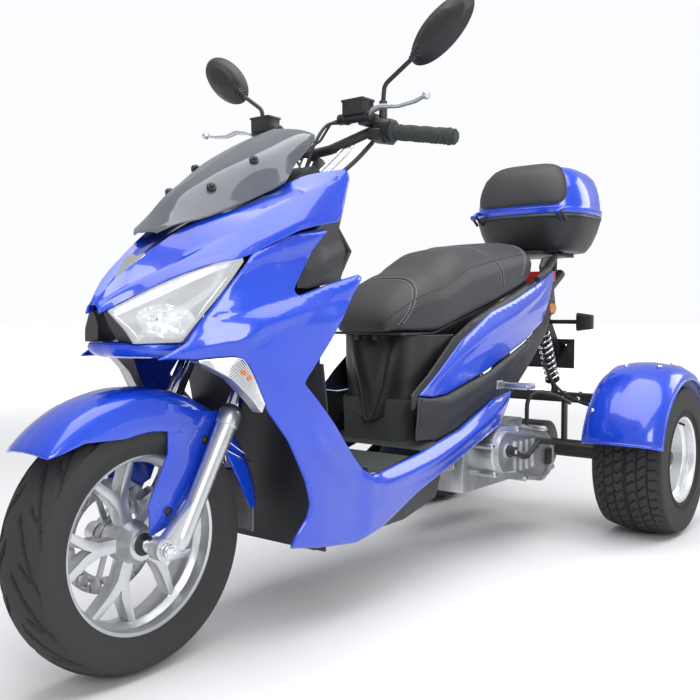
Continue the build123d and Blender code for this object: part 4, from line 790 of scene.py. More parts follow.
# ---------------------------------------------------------------------------------------------------
# Fork and front mudguard
# ---------------------------------------------------------------------------------------------------
@dataclass
class ForkTrim:
    """Small parts of the fork and the front mudguard."""

    def build(self, make: Maker) -> None:
        """Add bolts, dust seals, pinch bolts, the wire guide and the brake hose."""
        bolts = []
        for side in (1, -1):
            for ahead, z in ((1525, 424), (1616, 302)):
                if side < 0 and ahead > 1600:
                    continue
                bolts += bolt(make.at(ahead, side * 72.2, z), Vector((0, side, 0)), 0.0062, True)
        make.add("front_fender_bolts", bolts, "steering", Look.STEEL, "black_steel")
        wells = [turned(make.at(ahead, 72.25, z), Vector((0, 1, 0)),
                        [(0, 0.0125), (0.0012, 0.0122), (0.0012, 0.0095), (0, 0.009)], 28)
                 for ahead, z in ((1525, 424), (1616, 302))]
        make.add("front_fender_wells", wells, "steering", Look.BLUE, "blue_paint")
        lean = Vector((-0.5, 0, 0.866))
        seals, pins = [], []
        for side in (1, -1):
            ahead = 1650 - 40.4 - 0.577 * (478 - 243)
            top = make.at(ahead, side * 95, 478)
            seals.append(turned(top, lean, [(0, 0.0208), (0.004, 0.0205), (0.007, 0.0178), (0.008, 0.0164)], 32))
            pins += bolt(make.at(1613, side * 95, 262) + Vector((0.019, 0, -0.01)), Vector((0.86, 0, -0.5)), 0.0042,
                         True)
        make.add("fork_dust_seals", seals, "steering", Look.BLACK, "black_plastic")
        make.add("fork_pinch_bolts", pins, "steering", Look.CHROME, "chromed_steel")
        wire = []
        base = make.at(1500, 72, 400)
        runs = [[(0, 0, 0), (-14, 0, 26), (-70, 0, -8), (-92, 0, -22)],
                [(-6, 0, -18), (-30, 0, -26), (-22, 0, 4), (-10, 0, 16)],
                [(-12, 4, 8), (-60, 4, -18), (-96, 4, -34)]]
        for run in runs:
            wire.append(pipe(smooth_path([base + Vector(p) / MILLIMETRES for p in run], 6), 0.0016, 8))
        make.add("cable_guide_wire", wire, "steering", Look.CHROME, "chromed_steel")
        hose = smooth_path([make.at(1552, -62, 306), make.at(1520, -66, 350), make.at(1482, -74, 420),
                            make.at(1452, -76, 500), make.at(1424, -72, 560)], 8)
        make.add("front_brake_hose", [pipe(hose, 0.0032, 10)], "steering", Look.BLACK, "black_plastic")


# ---------------------------------------------------------------------------------------------------
# Nose, lamps and screen
# ---------------------------------------------------------------------------------------------------
@dataclass
class NoseTrim:
    """The blank shield and the screen's screws."""

    def shield(self, make: Maker) -> None:
        """Make the blank shield in the valley between the hood's crests."""
        outline = [(1624, 0), (1620, 18), (1626, 27), (1640, 24), (1662, 12), (1676, 0), (1662, -12), (1640, -24),
                   (1626, -27), (1620, -18)]
        verts, faces = [], []
        for lift, share in ((0.6, 1.0), (2.6, 0.96), (3.2, 0.82)):
            for ahead, y in outline:
                a = 1646 + (ahead - 1646) * share
                yy = y * share
                ground = 775 + (1620 - a) * 0.885 + abs(yy) * 0.12
                verts.append(make.at(a, yy, ground + lift))
        n = len(outline)
        for level in range(2):
            for j in range(n):
                k = (j + 1) % n
                faces.append((level * n + j, level * n + k, (level + 1) * n + k, (level + 1) * n + j))
        faces.append(tuple(2 * n + j for j in range(n)))
        faces.append(tuple(range(n))[::-1])
        made = make.piece("nose_shield", verts, faces, "chassis", Look.SILVER)

    def screws(self, make: Maker) -> None:
        """Make the four screen screws on their dark collars."""
        collars, heads = [], []
        for side in (1, -1):
            for ahead, y, z in ((1403, 87, 972), (1494, 62, 910)):
                out = Vector((0.36, side * 0.72, 0.6)).normalized()
                base = make.at(ahead, side * y, z)
                collars.append(turned(base, out, [(-0.002, 0.0095), (0.003, 0.0095), (0.0045, 0.008), (0.0045, 0)], 24))
                heads.append(turned(base + out * 0.0045, out, [(0, 0.0055), (0.003, 0.0052), (0.0045, 0.003),
                                                               (0.0046, 0)], 20))
        make.add("screen_collars", collars, "chassis", Look.BLACK, "black_plastic")
        make.add("screen_screws", heads, "chassis", Look.STEEL, "black_steel")

    def build(self, make: Maker) -> None:
        """Add all of the nose's small pieces."""
        self.shield(make)
        self.screws(make)


# ---------------------------------------------------------------------------------------------------
# Handlebar, levers and mirrors
# ---------------------------------------------------------------------------------------------------
@dataclass
class Controls:
    """Grips, switch buttons and the lines that run down from the bar."""

    bend: Point = (1090.5, 150.0, 1074.0)
    end: Point = (1070.5, 350.0, 1038.0)
    routes: tuple[tuple[Look, str, float, tuple[Point, ...]], ...] = (
        (Look.CHROME, "chromed_steel", 0.0042,
         ((1104, 96, 1056), (1136, 84, 1022), (1176, 70, 982), (1208, 54, 946), (1226, 40, 922))),
        (Look.CHROME, "chromed_steel", 0.0036,
         ((1100, 112, 1058), (1124, 96, 1020), (1160, 80, 982), (1196, 66, 946), (1218, 54, 922))),
        (Look.BLACK, "black_plastic", 0.0036,
         ((1130, 88, 1092), (1164, 76, 1082), (1192, 66, 1040), (1212, 54, 980), (1226, 44, 926))),
        (Look.BLACK, "black_plastic", 0.005,
         ((1092, 150, 1048), (1118, 124, 1008), (1156, 98, 968), (1194, 80, 938), (1216, 70, 924))))

    def frame_of(self, make: Maker, side: int) -> tuple[Vector, Vector]:
        """Return the start of the straight part of the bar and its direction."""
        start = make.at(self.bend[0], side * self.bend[1], self.bend[2])
        stop = make.at(self.end[0], side * self.end[1], self.end[2])
        return start, (stop - start).normalized()

    def grip(self, start: Vector, d: Vector) -> list[tuple[list, list]]:
        """Make one grip with slanted ribs and an end weight."""
        u, v = across(d)
        rings = []
        steps, sides, begin, stop = 110, 48, 0.0495, 0.203
        for i in range(steps + 1):
            t = i / steps
            along = begin + (stop - begin) * t
            base = 0.0168 if t > 0.05 else 0.0222
            ring = []
            for j in range(sides):
                a = math.tau * j / sides
                wave = math.sin(a * 3 + t * 34) * math.sin(t * 60)
                r = base + (0.0011 if wave > 0.1 and 0.12 < t < 0.9 else 0.0)
                if 0.9 < t < 0.93:
                    r = base + 0.002
                ring.append(start + d * along + (u * math.cos(a) + v * math.sin(a)) * r)
            rings.append(ring)
        weight = turned(start + d * 0.199, d, [(0, 0.0145), (0.006, 0.0145), (0.0065, 0.0128), (0.0085, 0.0128),
                                               (0.0088, 0.009), (0.0089, 0)], 32)
        return [grid(rings), weight]

    def switches(self, make: Maker, side: int) -> list[tuple[list, list]]:
        """Make the buttons on one switch block."""
        start, d = self.frame_of(make, side)
        shapes = []
        for along, up, size in ((0.02, 0.012, 0.006), (0.034, 0.0, 0.0052), (0.022, -0.013, 0.0058)):
            spot = start + d * along + Vector((-0.0228, 0, up))
            shapes.append(turned(spot, Vector((-1, 0, 0)), [(0, size), (0.003, size), (0.0042, size * 0.8),
                                                             (0.0044, 0)], 24))
        return shapes

    def build(self, make: Maker) -> None:
        """Add the grips, buttons and control lines."""
        made = make.both("grip_sleeves", lambda s: self.grip(*self.frame_of(make, s)), "steering", Look.MAT, 28)
        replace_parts(made, "handlebar_grips")
        make.both("switch_buttons", lambda s: self.switches(make, s), "steering", Look.MAT)
        self.lines(make)

    def lines(self, make: Maker) -> None:
        """Make the silver and black lines that drop from the bar into the dash."""
        for index, (look, slot, size, points) in enumerate(self.routes):
            for side, word in SIDES:
                path = smooth_path([make.at(x, side * y, z) for x, y, z in points], 8)
                make.add(f"control_line_{index + 1}_{word}", [pipe(path, size, 12)], "steering", look, slot)


# ---------------------------------------------------------------------------------------------------
# Body panels
# ---------------------------------------------------------------------------------------------------
class Spline:
    """A smooth curve through rising keys that never overshoots its points."""

    def __init__(self, keys: Sequence[float], values: Sequence[float]) -> None:
        """Sort the keys and work out a slope at each."""
        order = sorted(range(len(keys)), key=lambda i: keys[i])
        self.keys = [keys[i] for i in order]
        self.values = [values[i] for i in order]
        count = len(self.keys)
        gaps = [max(b - a, 1e-9) for a, b in zip(self.keys, self.keys[1:])]
        rises = [(b - a) / g for a, b, g in zip(self.values, self.values[1:], gaps)]
        self.slopes = [rises[0]] + [0.0] * (count - 2) + [rises[-1]]
        for i in range(1, count - 1):
            a, b = rises[i - 1], rises[i]
            if a * b > 0:
                w1, w2 = 2 * gaps[i] + gaps[i - 1], gaps[i] + 2 * gaps[i - 1]
                self.slopes[i] = (w1 + w2) / (w1 / a + w2 / b)
        self.gaps = gaps

    def __call__(self, key: float) -> float:
        """Return the value at a key, level or straight beyond the ends."""
        keys = self.keys
        if key <= keys[0]:
            return self.values[0] + self.slopes[0] * (key - keys[0])
        if key >= keys[-1]:
            return self.values[-1] + self.slopes[-1] * (key - keys[-1])
        i = next(k for k in range(len(keys) - 1) if key <= keys[k + 1])
        g = self.gaps[i]
        t = (key - keys[i]) / g
        a, b = self.values[i], self.values[i + 1]
        m, n = self.slopes[i] * g, self.slopes[i + 1] * g
        return ((2 * t - 3) * t * t + 1) * a + ((t - 2) * t + 1) * t * m + (3 - 2 * t) * t * t * b + (t - 1) * t * t * n


@dataclass(frozen=True)
class Fold:
    """A ridge (or, with a falling height, a groove) pressed into a panel along a line."""

    line: tuple[tuple[float, float], ...]
    height: float
    above: float
    below: float
    soft: float = 2.0
    taper: float = 0.15

    def lift(self, x: float, z: float) -> float:
        """Return how far the fold pushes the panel out at a place."""
        best, side, along = 1e9, 1.0, 0.0
        total = sum(math.dist(a, b) for a, b in zip(self.line, self.line[1:]))
        done = 0.0
        for (ax, az), (bx, bz) in zip(self.line, self.line[1:]):
            ux, uz = bx - ax, bz - az
            length = math.hypot(ux, uz)
            raw = ((x - ax) * ux + (z - az) * uz) / length ** 2
            t = min(1.0, max(0.0, raw))
            d = math.hypot(x - ax - ux * t, z - az - uz * t)
            if d < best:
                best, along = d, (done + length * t) / total
                up = (uz * (x - ax) - ux * (z - az)) * (1 if ux < 0 else -1)
                side = 1.0 if up > 0 else -1.0
            done += length
        width = self.above if side > 0 else self.below
        if best >= width:
            return 0.0
        eased = max(0.0, 1 - math.hypot(best, self.soft) / width)
        ends = 1.0 if self.taper <= 0 else min(1.0, min(along, 1 - along) / self.taper)
        return self.height * eased * (3 - 2 * ends) * ends * ends


@dataclass
class Skin:
    """A side panel's outer face: for each place along and up the vehicle, how far out it lies."""

    stations: Sequence[tuple[float, Sequence[tuple[float, float]]]]
    folds: Sequence[Fold] = ()
    columns: list[tuple[Spline, Spline]] = field(default_factory=list)

    def __post_init__(self) -> None:
        """Make the curves that join the sections' points lengthwise."""
        xs = [x for x, _ in self.stations]
        for k in range(len(self.stations[0][1])):
            self.columns.append((Spline(xs, [row[k][0] for _, row in self.stations]),
                                 Spline(xs, [row[k][1] for _, row in self.stations])))

    def side(self, x: float, z: float) -> float:
        """Return how far out the face lies."""
        points = sorted((high(x), out(x)) for out, high in self.columns)
        y = Spline([p[0] for p in points], [p[1] for p in points])(z)
        return y + sum(fold.lift(x, z) for fold in self.folds)


def rounded(outline: Sequence[tuple[float, float]], pitch: float, corner: float = 7.0) -> list[tuple[float, float]]:
    """Round an outline's corners and set points along it."""
    count, path = len(outline), []
    for i in range(count):
        a, b, c = (Vector(outline[(i + k) % count]) for k in (-1, 0, 1))
        cut = min(corner, (a - b).length * 0.4, (c - b).length * 0.4)
        p, q = b + (a - b).normalized() * cut, b + (c - b).normalized() * cut
        for k in range(5):
            t = k / 4
            path.append(p * (1 - t) ** 2 + b * (2 * t * (1 - t)) + q * t * t)
    dense: list[tuple[float, float]] = []
    for a, b in zip(path, path[1:] + path[:1]):
        pieces = max(1, round((b - a).length / pitch))
        dense += [tuple(a.lerp(b, k / pieces)) for k in range(pieces)]
    kept = [dense[0]]
    for p in dense[1:]:
        if math.dist(p, kept[-1]) > 0.8:
            kept.append(p)
    return kept


def edge_gap(x: float, z: float, outline: Sequence[tuple[float, float]]) -> float:
    """Distance from a place to an outline, falling below nothing outside it."""
    inside, best = False, 1e18
    for (ax, az), (bx, bz) in zip(outline, list(outline[1:]) + [outline[0]]):
        ux, uz = bx - ax, bz - az
        t = min(1.0, max(0.0, ((x - ax) * ux + (z - az) * uz) / (ux * ux + uz * uz)))
        best = min(best, (x - ax - ux * t) ** 2 + (z - az - uz * t) ** 2)
        if (az > z) != (bz > z) and x < ax + ux * (z - az) / uz:
            inside = not inside
    return math.sqrt(best) if inside else -math.sqrt(best)


def panel(make: Maker, name: str, outline: Sequence[tuple[float, float]], skin: Skin, look: Look, slot: str,
          replaced: Sequence[str] = (), body: str = "chassis", pitch: float = 9.0, lip: float = 5.0,
          wall: float = 0.003, sides: Sequence[int] = (1, -1), corner: float = 7.0) -> bpy.types.Object:
    """Make a moulded side panel on both sides, with its rim turned in.

    Args:
        make: The maker of pieces.
        name: Piece name.
        outline: The panel seen from the side, as (ahead, up) points.
        skin: The face that the panel lies in.
        look: Its finish.
        slot: The material slot that the finish belongs to; it is not used.
        replaced: The plain nodes that it stands for.
        body: The body that it rides on.
        pitch: Spacing of its points, in millimetres.
        lip: How far the rim rolls inwards, in millimetres.
        wall: Its thickness, in metres.
        sides: 1 for the left and -1 for the right.
        corner: How much of each corner of the outline is rounded, in millimetres.

    Returns:
        The finished object, with both sides in it.
    """
    rim = rounded(outline, pitch, corner)
    low_x, high_x = min(p[0] for p in rim), max(p[0] for p in rim)
    low_z, high_z = min(p[1] for p in rim), max(p[1] for p in rim)
    places = list(rim)
    for inset in (1.6, 4.0):
        for i, p in enumerate(rim):
            a, b = Vector(rim[i - 1]), Vector(rim[(i + 1) % len(rim)])
            d = (b - a).normalized()
            for n in (Vector((-d.y, d.x)), Vector((d.y, -d.x))):
                q = Vector(p) + n * inset
                if edge_gap(q.x, q.y, rim) > inset * 0.8:
                    places.append((q.x, q.y))
    row, z = 0, low_z
    while z < high_z:
        x = low_x + (pitch / 2 if row % 2 else 0)
        while x < high_x:
            if edge_gap(x, z, rim) > 4.0 + pitch * 0.45:
                places.append((x, z))
            x += pitch
        z += pitch * 0.87
        row += 1
    verts2, _, faces, *_ = delaunay_2d_cdt([Vector(p) for p in places], [], [list(range(len(rim)))], 1, 1e-4)
    verts, skins = [], []
    for x, z in verts2:
        gap = max(0.0, edge_gap(x, z, rim))
        drop = 0.0 if gap >= lip * 1.2 else lip * (1 - gap / (lip * 1.2)) ** 2.2
        verts.append((x, skin.side(x, z) - drop, z))
    for side in sides:
        base = [make.at(x, side * y, z) for x, y, z in verts]
        turned_faces = []
        for f in faces:
            a, b, c = (base[i] for i in f[:3])
            out = (b - a).cross(c - a).y * side
            turned_faces.append(tuple(f) if out > 0 else tuple(reversed(f)))
        skins.append((base, turned_faces))
    made = walled(make.add(name, skins, body, look, slot), wall)
    if replaced:
        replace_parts(made, *replaced)
    return made


class Side:
    """Side-panel faces, given as (ahead, ((out, up), ...)) sections, with their folds."""

    FAIRING = Skin(
        ((1710, ((80, 760), (84, 720), (90, 680), (98, 640), (104, 600), (104, 580), (100, 540))),
         (1600, ((112, 800), (116, 740), (118, 700), (130, 640), (132, 600), (128, 570), (120, 520))),
         (1500, ((158, 820), (163, 765), (168, 715), (188, 640), (190, 590), (184, 520), (176, 440))),
         (1390, ((186, 860), (181, 770), (190, 702), (207, 650), (205, 540), (196, 360), (172, 165))),
         (1300, ((200, 880), (193, 770), (201, 705), (215, 655), (209, 520), (200, 330), (184, 165))),
         (1214, ((204, 880), (205, 800), (215, 748), (215, 700), (205, 500), (199, 330), (186, 160))),
         (1150, ((196, 420), (197, 380), (198, 350), (198, 318), (200, 290), (198, 240), (188, 160))),
         (1112, ((190, 321), (192, 314), (196, 300), (200, 285), (199, 262), (196, 235), (188, 165))),
         (942, ((180, 340), (184, 331), (190, 318), (194, 302), (192, 285), (188, 262), (182, 225))),
         (751, ((172, 376), (177, 366), (182, 354), (185, 342), (184, 330), (181, 312), (177, 280))),
         (562, ((160, 438), (166, 428), (170, 414), (172, 400), (171, 385), (169, 368), (166, 330))),
         (428, ((150, 460), (154, 452), (157, 444), (158, 436), (158, 428), (157, 416), (154, 395)))),
        (Fold(((1676, 590), (1590, 668), (1508, 757), (1472, 776), (1375, 806), (1290, 834)), 6, 9, 16, 1.5, 0.05),
         Fold(((1700, 575), (1600, 600), (1531, 614), (1489, 642), (1395, 672), (1250, 722), (1205, 752)), 9, 34, 20,
              2.5, 0.08),
         Fold(((1640, 605), (1581, 651), (1525, 668), (1435, 691), (1370, 708)), -4, 12, 12, 3, 0.1),
         Fold(((1440, 758), (1375, 774), (1310, 800)), -5, 14, 16, 3, 0.2),
         Fold(((1392, 470), (1330, 392), (1240, 318), (1150, 292), (900, 306), (620, 372), (440, 440)), 5, 24, 26,
              3, 0.08)))
    TAIL = Skin(
        ((932, ((136, 570), (146, 510), (152, 462), (150, 420))),
         (848, ((142, 618), (153, 540), (158, 480), (154, 440))),
         (700, ((140, 656), (152, 600), (157, 540), (151, 470))),
         (546, ((138, 704), (150, 655), (155, 600), (148, 530))),
         (395, ((136, 740), (147, 700), (151, 650), (144, 580))),
         (200, ((122, 800), (134, 756), (138, 700), (132, 620))),
         (75, ((104, 840), (114, 800), (118, 750), (114, 680)))),
        (Fold(((880, 476), (700, 562), (546, 622), (395, 664), (230, 726), (110, 790)), 4, 34, 12, 3, 0.1),))
    UNDER = Skin(
        ((932, ((133, 570), (143, 510), (148, 462), (147, 420))),
         (848, ((139, 618), (150, 540), (154, 480), (151, 440))),
         (700, ((137, 656), (149, 600), (153, 540), (148, 470))),
         (546, ((135, 704), (147, 655), (151, 600), (145, 530))),
         (395, ((133, 740), (144, 700), (147, 650), (141, 580))),
         (200, ((119, 800), (131, 756), (134, 700), (129, 620))),
         (75, ((101, 840), (111, 800), (114, 750), (111, 680)))),
        (Fold(((900, 500), (742, 610), (600, 668)), 3, 16, 22, 2, 0.1),))
    LOWER = Skin(
        ((960, ((150, 480), (156, 440), (160, 400), (162, 320))),
         (850, ((148, 520), (154, 460), (163, 410), (166, 310))),
         (640, ((148, 600), (154, 500), (160, 450), (160, 330))),
         (430, ((140, 640), (148, 560), (152, 500), (151, 380))),
         (200, ((136, 700), (134, 630), (134, 580), (128, 520))),
         (60, ((114, 790), (115, 700), (114, 640), (108, 580)))),
        (Fold(((850, 425), (700, 452), (560, 486), (400, 540), (250, 606)), 4, 16, 10, 2, 0.12),
         Fold(((870, 380), (740, 410), (560, 470)), 4, 20, 22, 2, 0.15),
         Fold(((560, 430), (440, 492), (330, 556)), -5, 16, 16, 3, 0.2)))


class BodyWork:
    """The smooth painted and dark panels: fairings, hood, screen, tail panels and dark covers."""

    CENTRE = ((1724, 0, 682), (1674, 0, 727), (1620, 0, 775), (1575, 0, 803), (1490, 0, 848), (1400, 0, 888),
              (1218, 0, 955))
    CREST = ((1724, 6, 683), (1696, 17, 720), (1630, 36, 775), (1574, 48, 817), (1536, 66, 838), (1449, 92, 873),
             (1400, 104, 896), (1352, 116, 918), (1326, 137, 941), (1286, 160, 955), (1218, 187, 969))
    CREASE = ((1724, 11, 681), (1712, 15, 690), (1667, 32, 719), (1620, 52, 744), (1560, 80, 781), (1505, 115, 815),
              (1459, 143, 847), (1385, 165, 890), (1252, 187, 941), (1218, 191, 948))
    BROW = ((1724, 15, 677), (1710, 20, 685), (1628, 58, 732), (1587, 86, 752), (1539, 121, 773), (1503, 151, 784),
            (1450, 177, 809), (1416, 188, 826), (1382, 194, 840), (1300, 203, 861), (1218, 207, 884))
    EDGE = ((1724, 20, 666), (1710, 23, 671), (1634, 64, 716), (1594, 93, 738), (1547, 129, 759), (1513, 152, 768),
            (1492, 161, 775), (1450, 178, 798), (1416, 188, 814), (1382, 193, 828), (1300, 203, 848), (1218, 208, 860))
    TIP = 1724
    ENDS = (1354, 1228, 1226, 1268, 1284)
    FACETS = ((8, -5), (8, 1.5), (8, 2.0), (5, 0.4))
    SCREEN = ((1614, ((0, 819), (9, 818), (17, 816), (24, 810))), (1581, ((0, 848), (22, 846), (42, 841), (60, 833))),
              (1536, ((0, 900), (28, 894), (53, 876), (77, 845))), (1484, ((0, 938), (38, 930), (67, 908), (91, 865))),
              (1403, ((0, 990), (52, 983), (90, 966), (113, 903))),
              (1342, ((0, 1027), (55, 1018), (97, 1000), (126, 936))),
              (1253, ((0, 1070), (54, 1062), (92, 1044), (118, 992))),
              (1220, ((0, 1082), (50, 1074), (86, 1055), (110, 1026))))

    def hood(self, make: Maker) -> None:
        """Make the hood and wings as one creased skin."""
        lines = [tuple(Spline([p[0] for p in line], [p[axis] for p in line]) for axis in (1, 2))
                 for line in (self.CENTRE, self.CREST, self.CREASE, self.BROW, self.EDGE)]
        rows = []
        for i in range(101):
            t = i / 100
            row = []
            for k, (steps, rise) in enumerate(self.FACETS):
                ends = [self.TIP + (self.ENDS[k + n] - self.TIP) * t for n in (0, 1)]
                (ya, za), (yb, zb) = ([curve(x) for curve in line] for line, x in zip(lines[k:k + 2], ends))
                for m in range(steps + (k == 3)):
                    s = m / steps
                    x, y, z = (a + (b - a) * s for a, b in (ends, (ya, yb), (za, zb)))
                    bow = math.sin(math.pi * s) * rise * min(1.0, t * 6)
                    row.append((x, y, z + bow))
            rows.append(row)
        self.finish(make, "hood_skin", self.halves(make, rows), Look.BLUE, "blue_paint", ("nose_cowl",))

    @staticmethod
    def sheet(rows: Sequence[Sequence[Vector]]) -> tuple[list, list]:
        """Join rows of points into an open sheet."""
        wide = len(rows[0])
        verts = [p for row in rows for p in row]
        faces = [(i * wide + j, i * wide + j + 1, (i + 1) * wide + j + 1, (i + 1) * wide + j)
                 for i in range(len(rows) - 1) for j in range(wide - 1)]
        return verts, faces

    @classmethod
    def halves(cls, make: Maker, rows: Sequence[Sequence[Point]]) -> list[tuple[list, list]]:
        """Make a sheet's left and right halves from (ahead, out, up) points in millimetres."""
        shapes = []
        for side, _ in SIDES:
            verts, faces = cls.sheet([[make.at(x, side * y, z) for x, y, z in row] for row in rows])
            shapes.append((verts, faces if side > 0 else [tuple(reversed(f)) for f in faces]))
        return shapes

    @staticmethod
    def finish(make: Maker, name: str, shapes: list, look: Look, slot: str, replaced: Sequence[str],
               wall: float = 0.003, body: str = "chassis") -> bpy.types.Object:
        """Join sheets, weld their seam, thicken them inwards and let them stand for the replaced nodes."""
        made = make.add(name, shapes, body, look, slot)
        work = bmesh.new()
        work.from_mesh(made.data)
        bmesh.ops.remove_doubles(work, verts=work.verts, dist=1e-5)
        work.to_mesh(made.data)
        work.free()
        if replaced:
            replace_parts(made, *replaced)
        return walled(made, wall)

    def screen(self, make: Maker) -> None:
        """Make the tinted screen."""
        keys = [row[0] for row in self.SCREEN]
        columns = [tuple(Spline(keys, [row[1][k][axis] for row in self.SCREEN]) for axis in (0, 1)) for k in range(4)]
        ends = Spline((0.0, 0.3, 0.55, 0.72, 0.82, 0.9, 1.0), (1254, 1252, 1236, 1222, 1236, 1310, 1352))
        starts = Spline((0.0, 0.4, 1.0), (1614, 1612, 1606))
        thirds = (0, 1 / 3, 2 / 3, 1)
        rows = []
        for i in range(81):
            t = i / 80
            row = []
            for s in (j / 40 for j in range(41)):
                x = starts(s) + (ends(s) - starts(s)) * t
                out, up = (Spline(thirds, [c[axis](x) for c in columns])(s) for axis in (0, 1))
                row.append((x, out, up))
            rows.append(row)
        self.finish(make, "screen_skin", self.halves(make, rows), Look.SCREEN, "smoked_screen", ("windscreen",))

    def sides(self, make: Maker) -> None:
        """Make the fairings, tail panels and dark covers."""
        panel(make, "fairing_skins", (
            (1674, 584), (1616, 613), (1499, 764), (1477, 786.5), (1416, 817), (1300, 838), (1391, 713), (1384, 702),
            (1350, 712), (1227, 748), (1214, 743), (1276, 653), (1360, 554), (1381, 531), (1353, 506), (1290, 444),
            (1221, 368), (1185, 333), (1155, 318), (1112, 317), (942, 336), (751, 371), (562, 432), (433, 450),
            (512, 357), (700, 310), (949, 245), (1106, 189), (1193, 173), (1313, 187), (1393, 201), (1381, 227),
            (1358, 258), (1352, 285), (1371, 336), (1420, 420), (1470, 482), (1475, 495), (1514, 570), (1535, 587),
            (1596, 581), (1637, 584)), Side.FAIRING, Look.BLUE, "blue_paint",
              ("front_fairing_left", "front_fairing_right"), pitch=8.0)
        panel(make, "tail_skins", (
            (907, 467), (700, 600), (546, 672), (395, 710), (200, 772), (79, 809), (90, 771), (193, 640), (340, 580),
            (560, 510), (780, 462), (848, 459)), Side.TAIL, Look.BLUE, "blue_paint", ("tail_panels",))
        panel(make, "under_seat_skins", (
            (928, 431), (928, 470), (742, 604), (640, 650), (500, 694), (262, 766), (200, 784), (96, 800), (104, 770),
            (200, 642), (345, 584), (560, 515), (780, 470), (848, 466), (903, 470), (910, 431)), Side.UNDER,
              Look.BLACK, "black_plastic", ("side_covers",), wall=0.002)
        panel(make, "lower_cover_skins", (
            (906, 466), (848, 458), (780, 461), (560, 509), (340, 579), (193, 639), (90, 770), (64, 700), (180, 590),
            (320, 500), (433, 432), (562, 384), (751, 340), (863, 330), (863, 354), (930, 358), (930, 379)),
              Side.LOWER, Look.BLACK, "black_plastic", ("lower_tail_covers",))

    def build(self, make: Maker) -> None:
        """Make every panel."""
        self.hood(make)
        self.screen(make)
        self.sides(make)


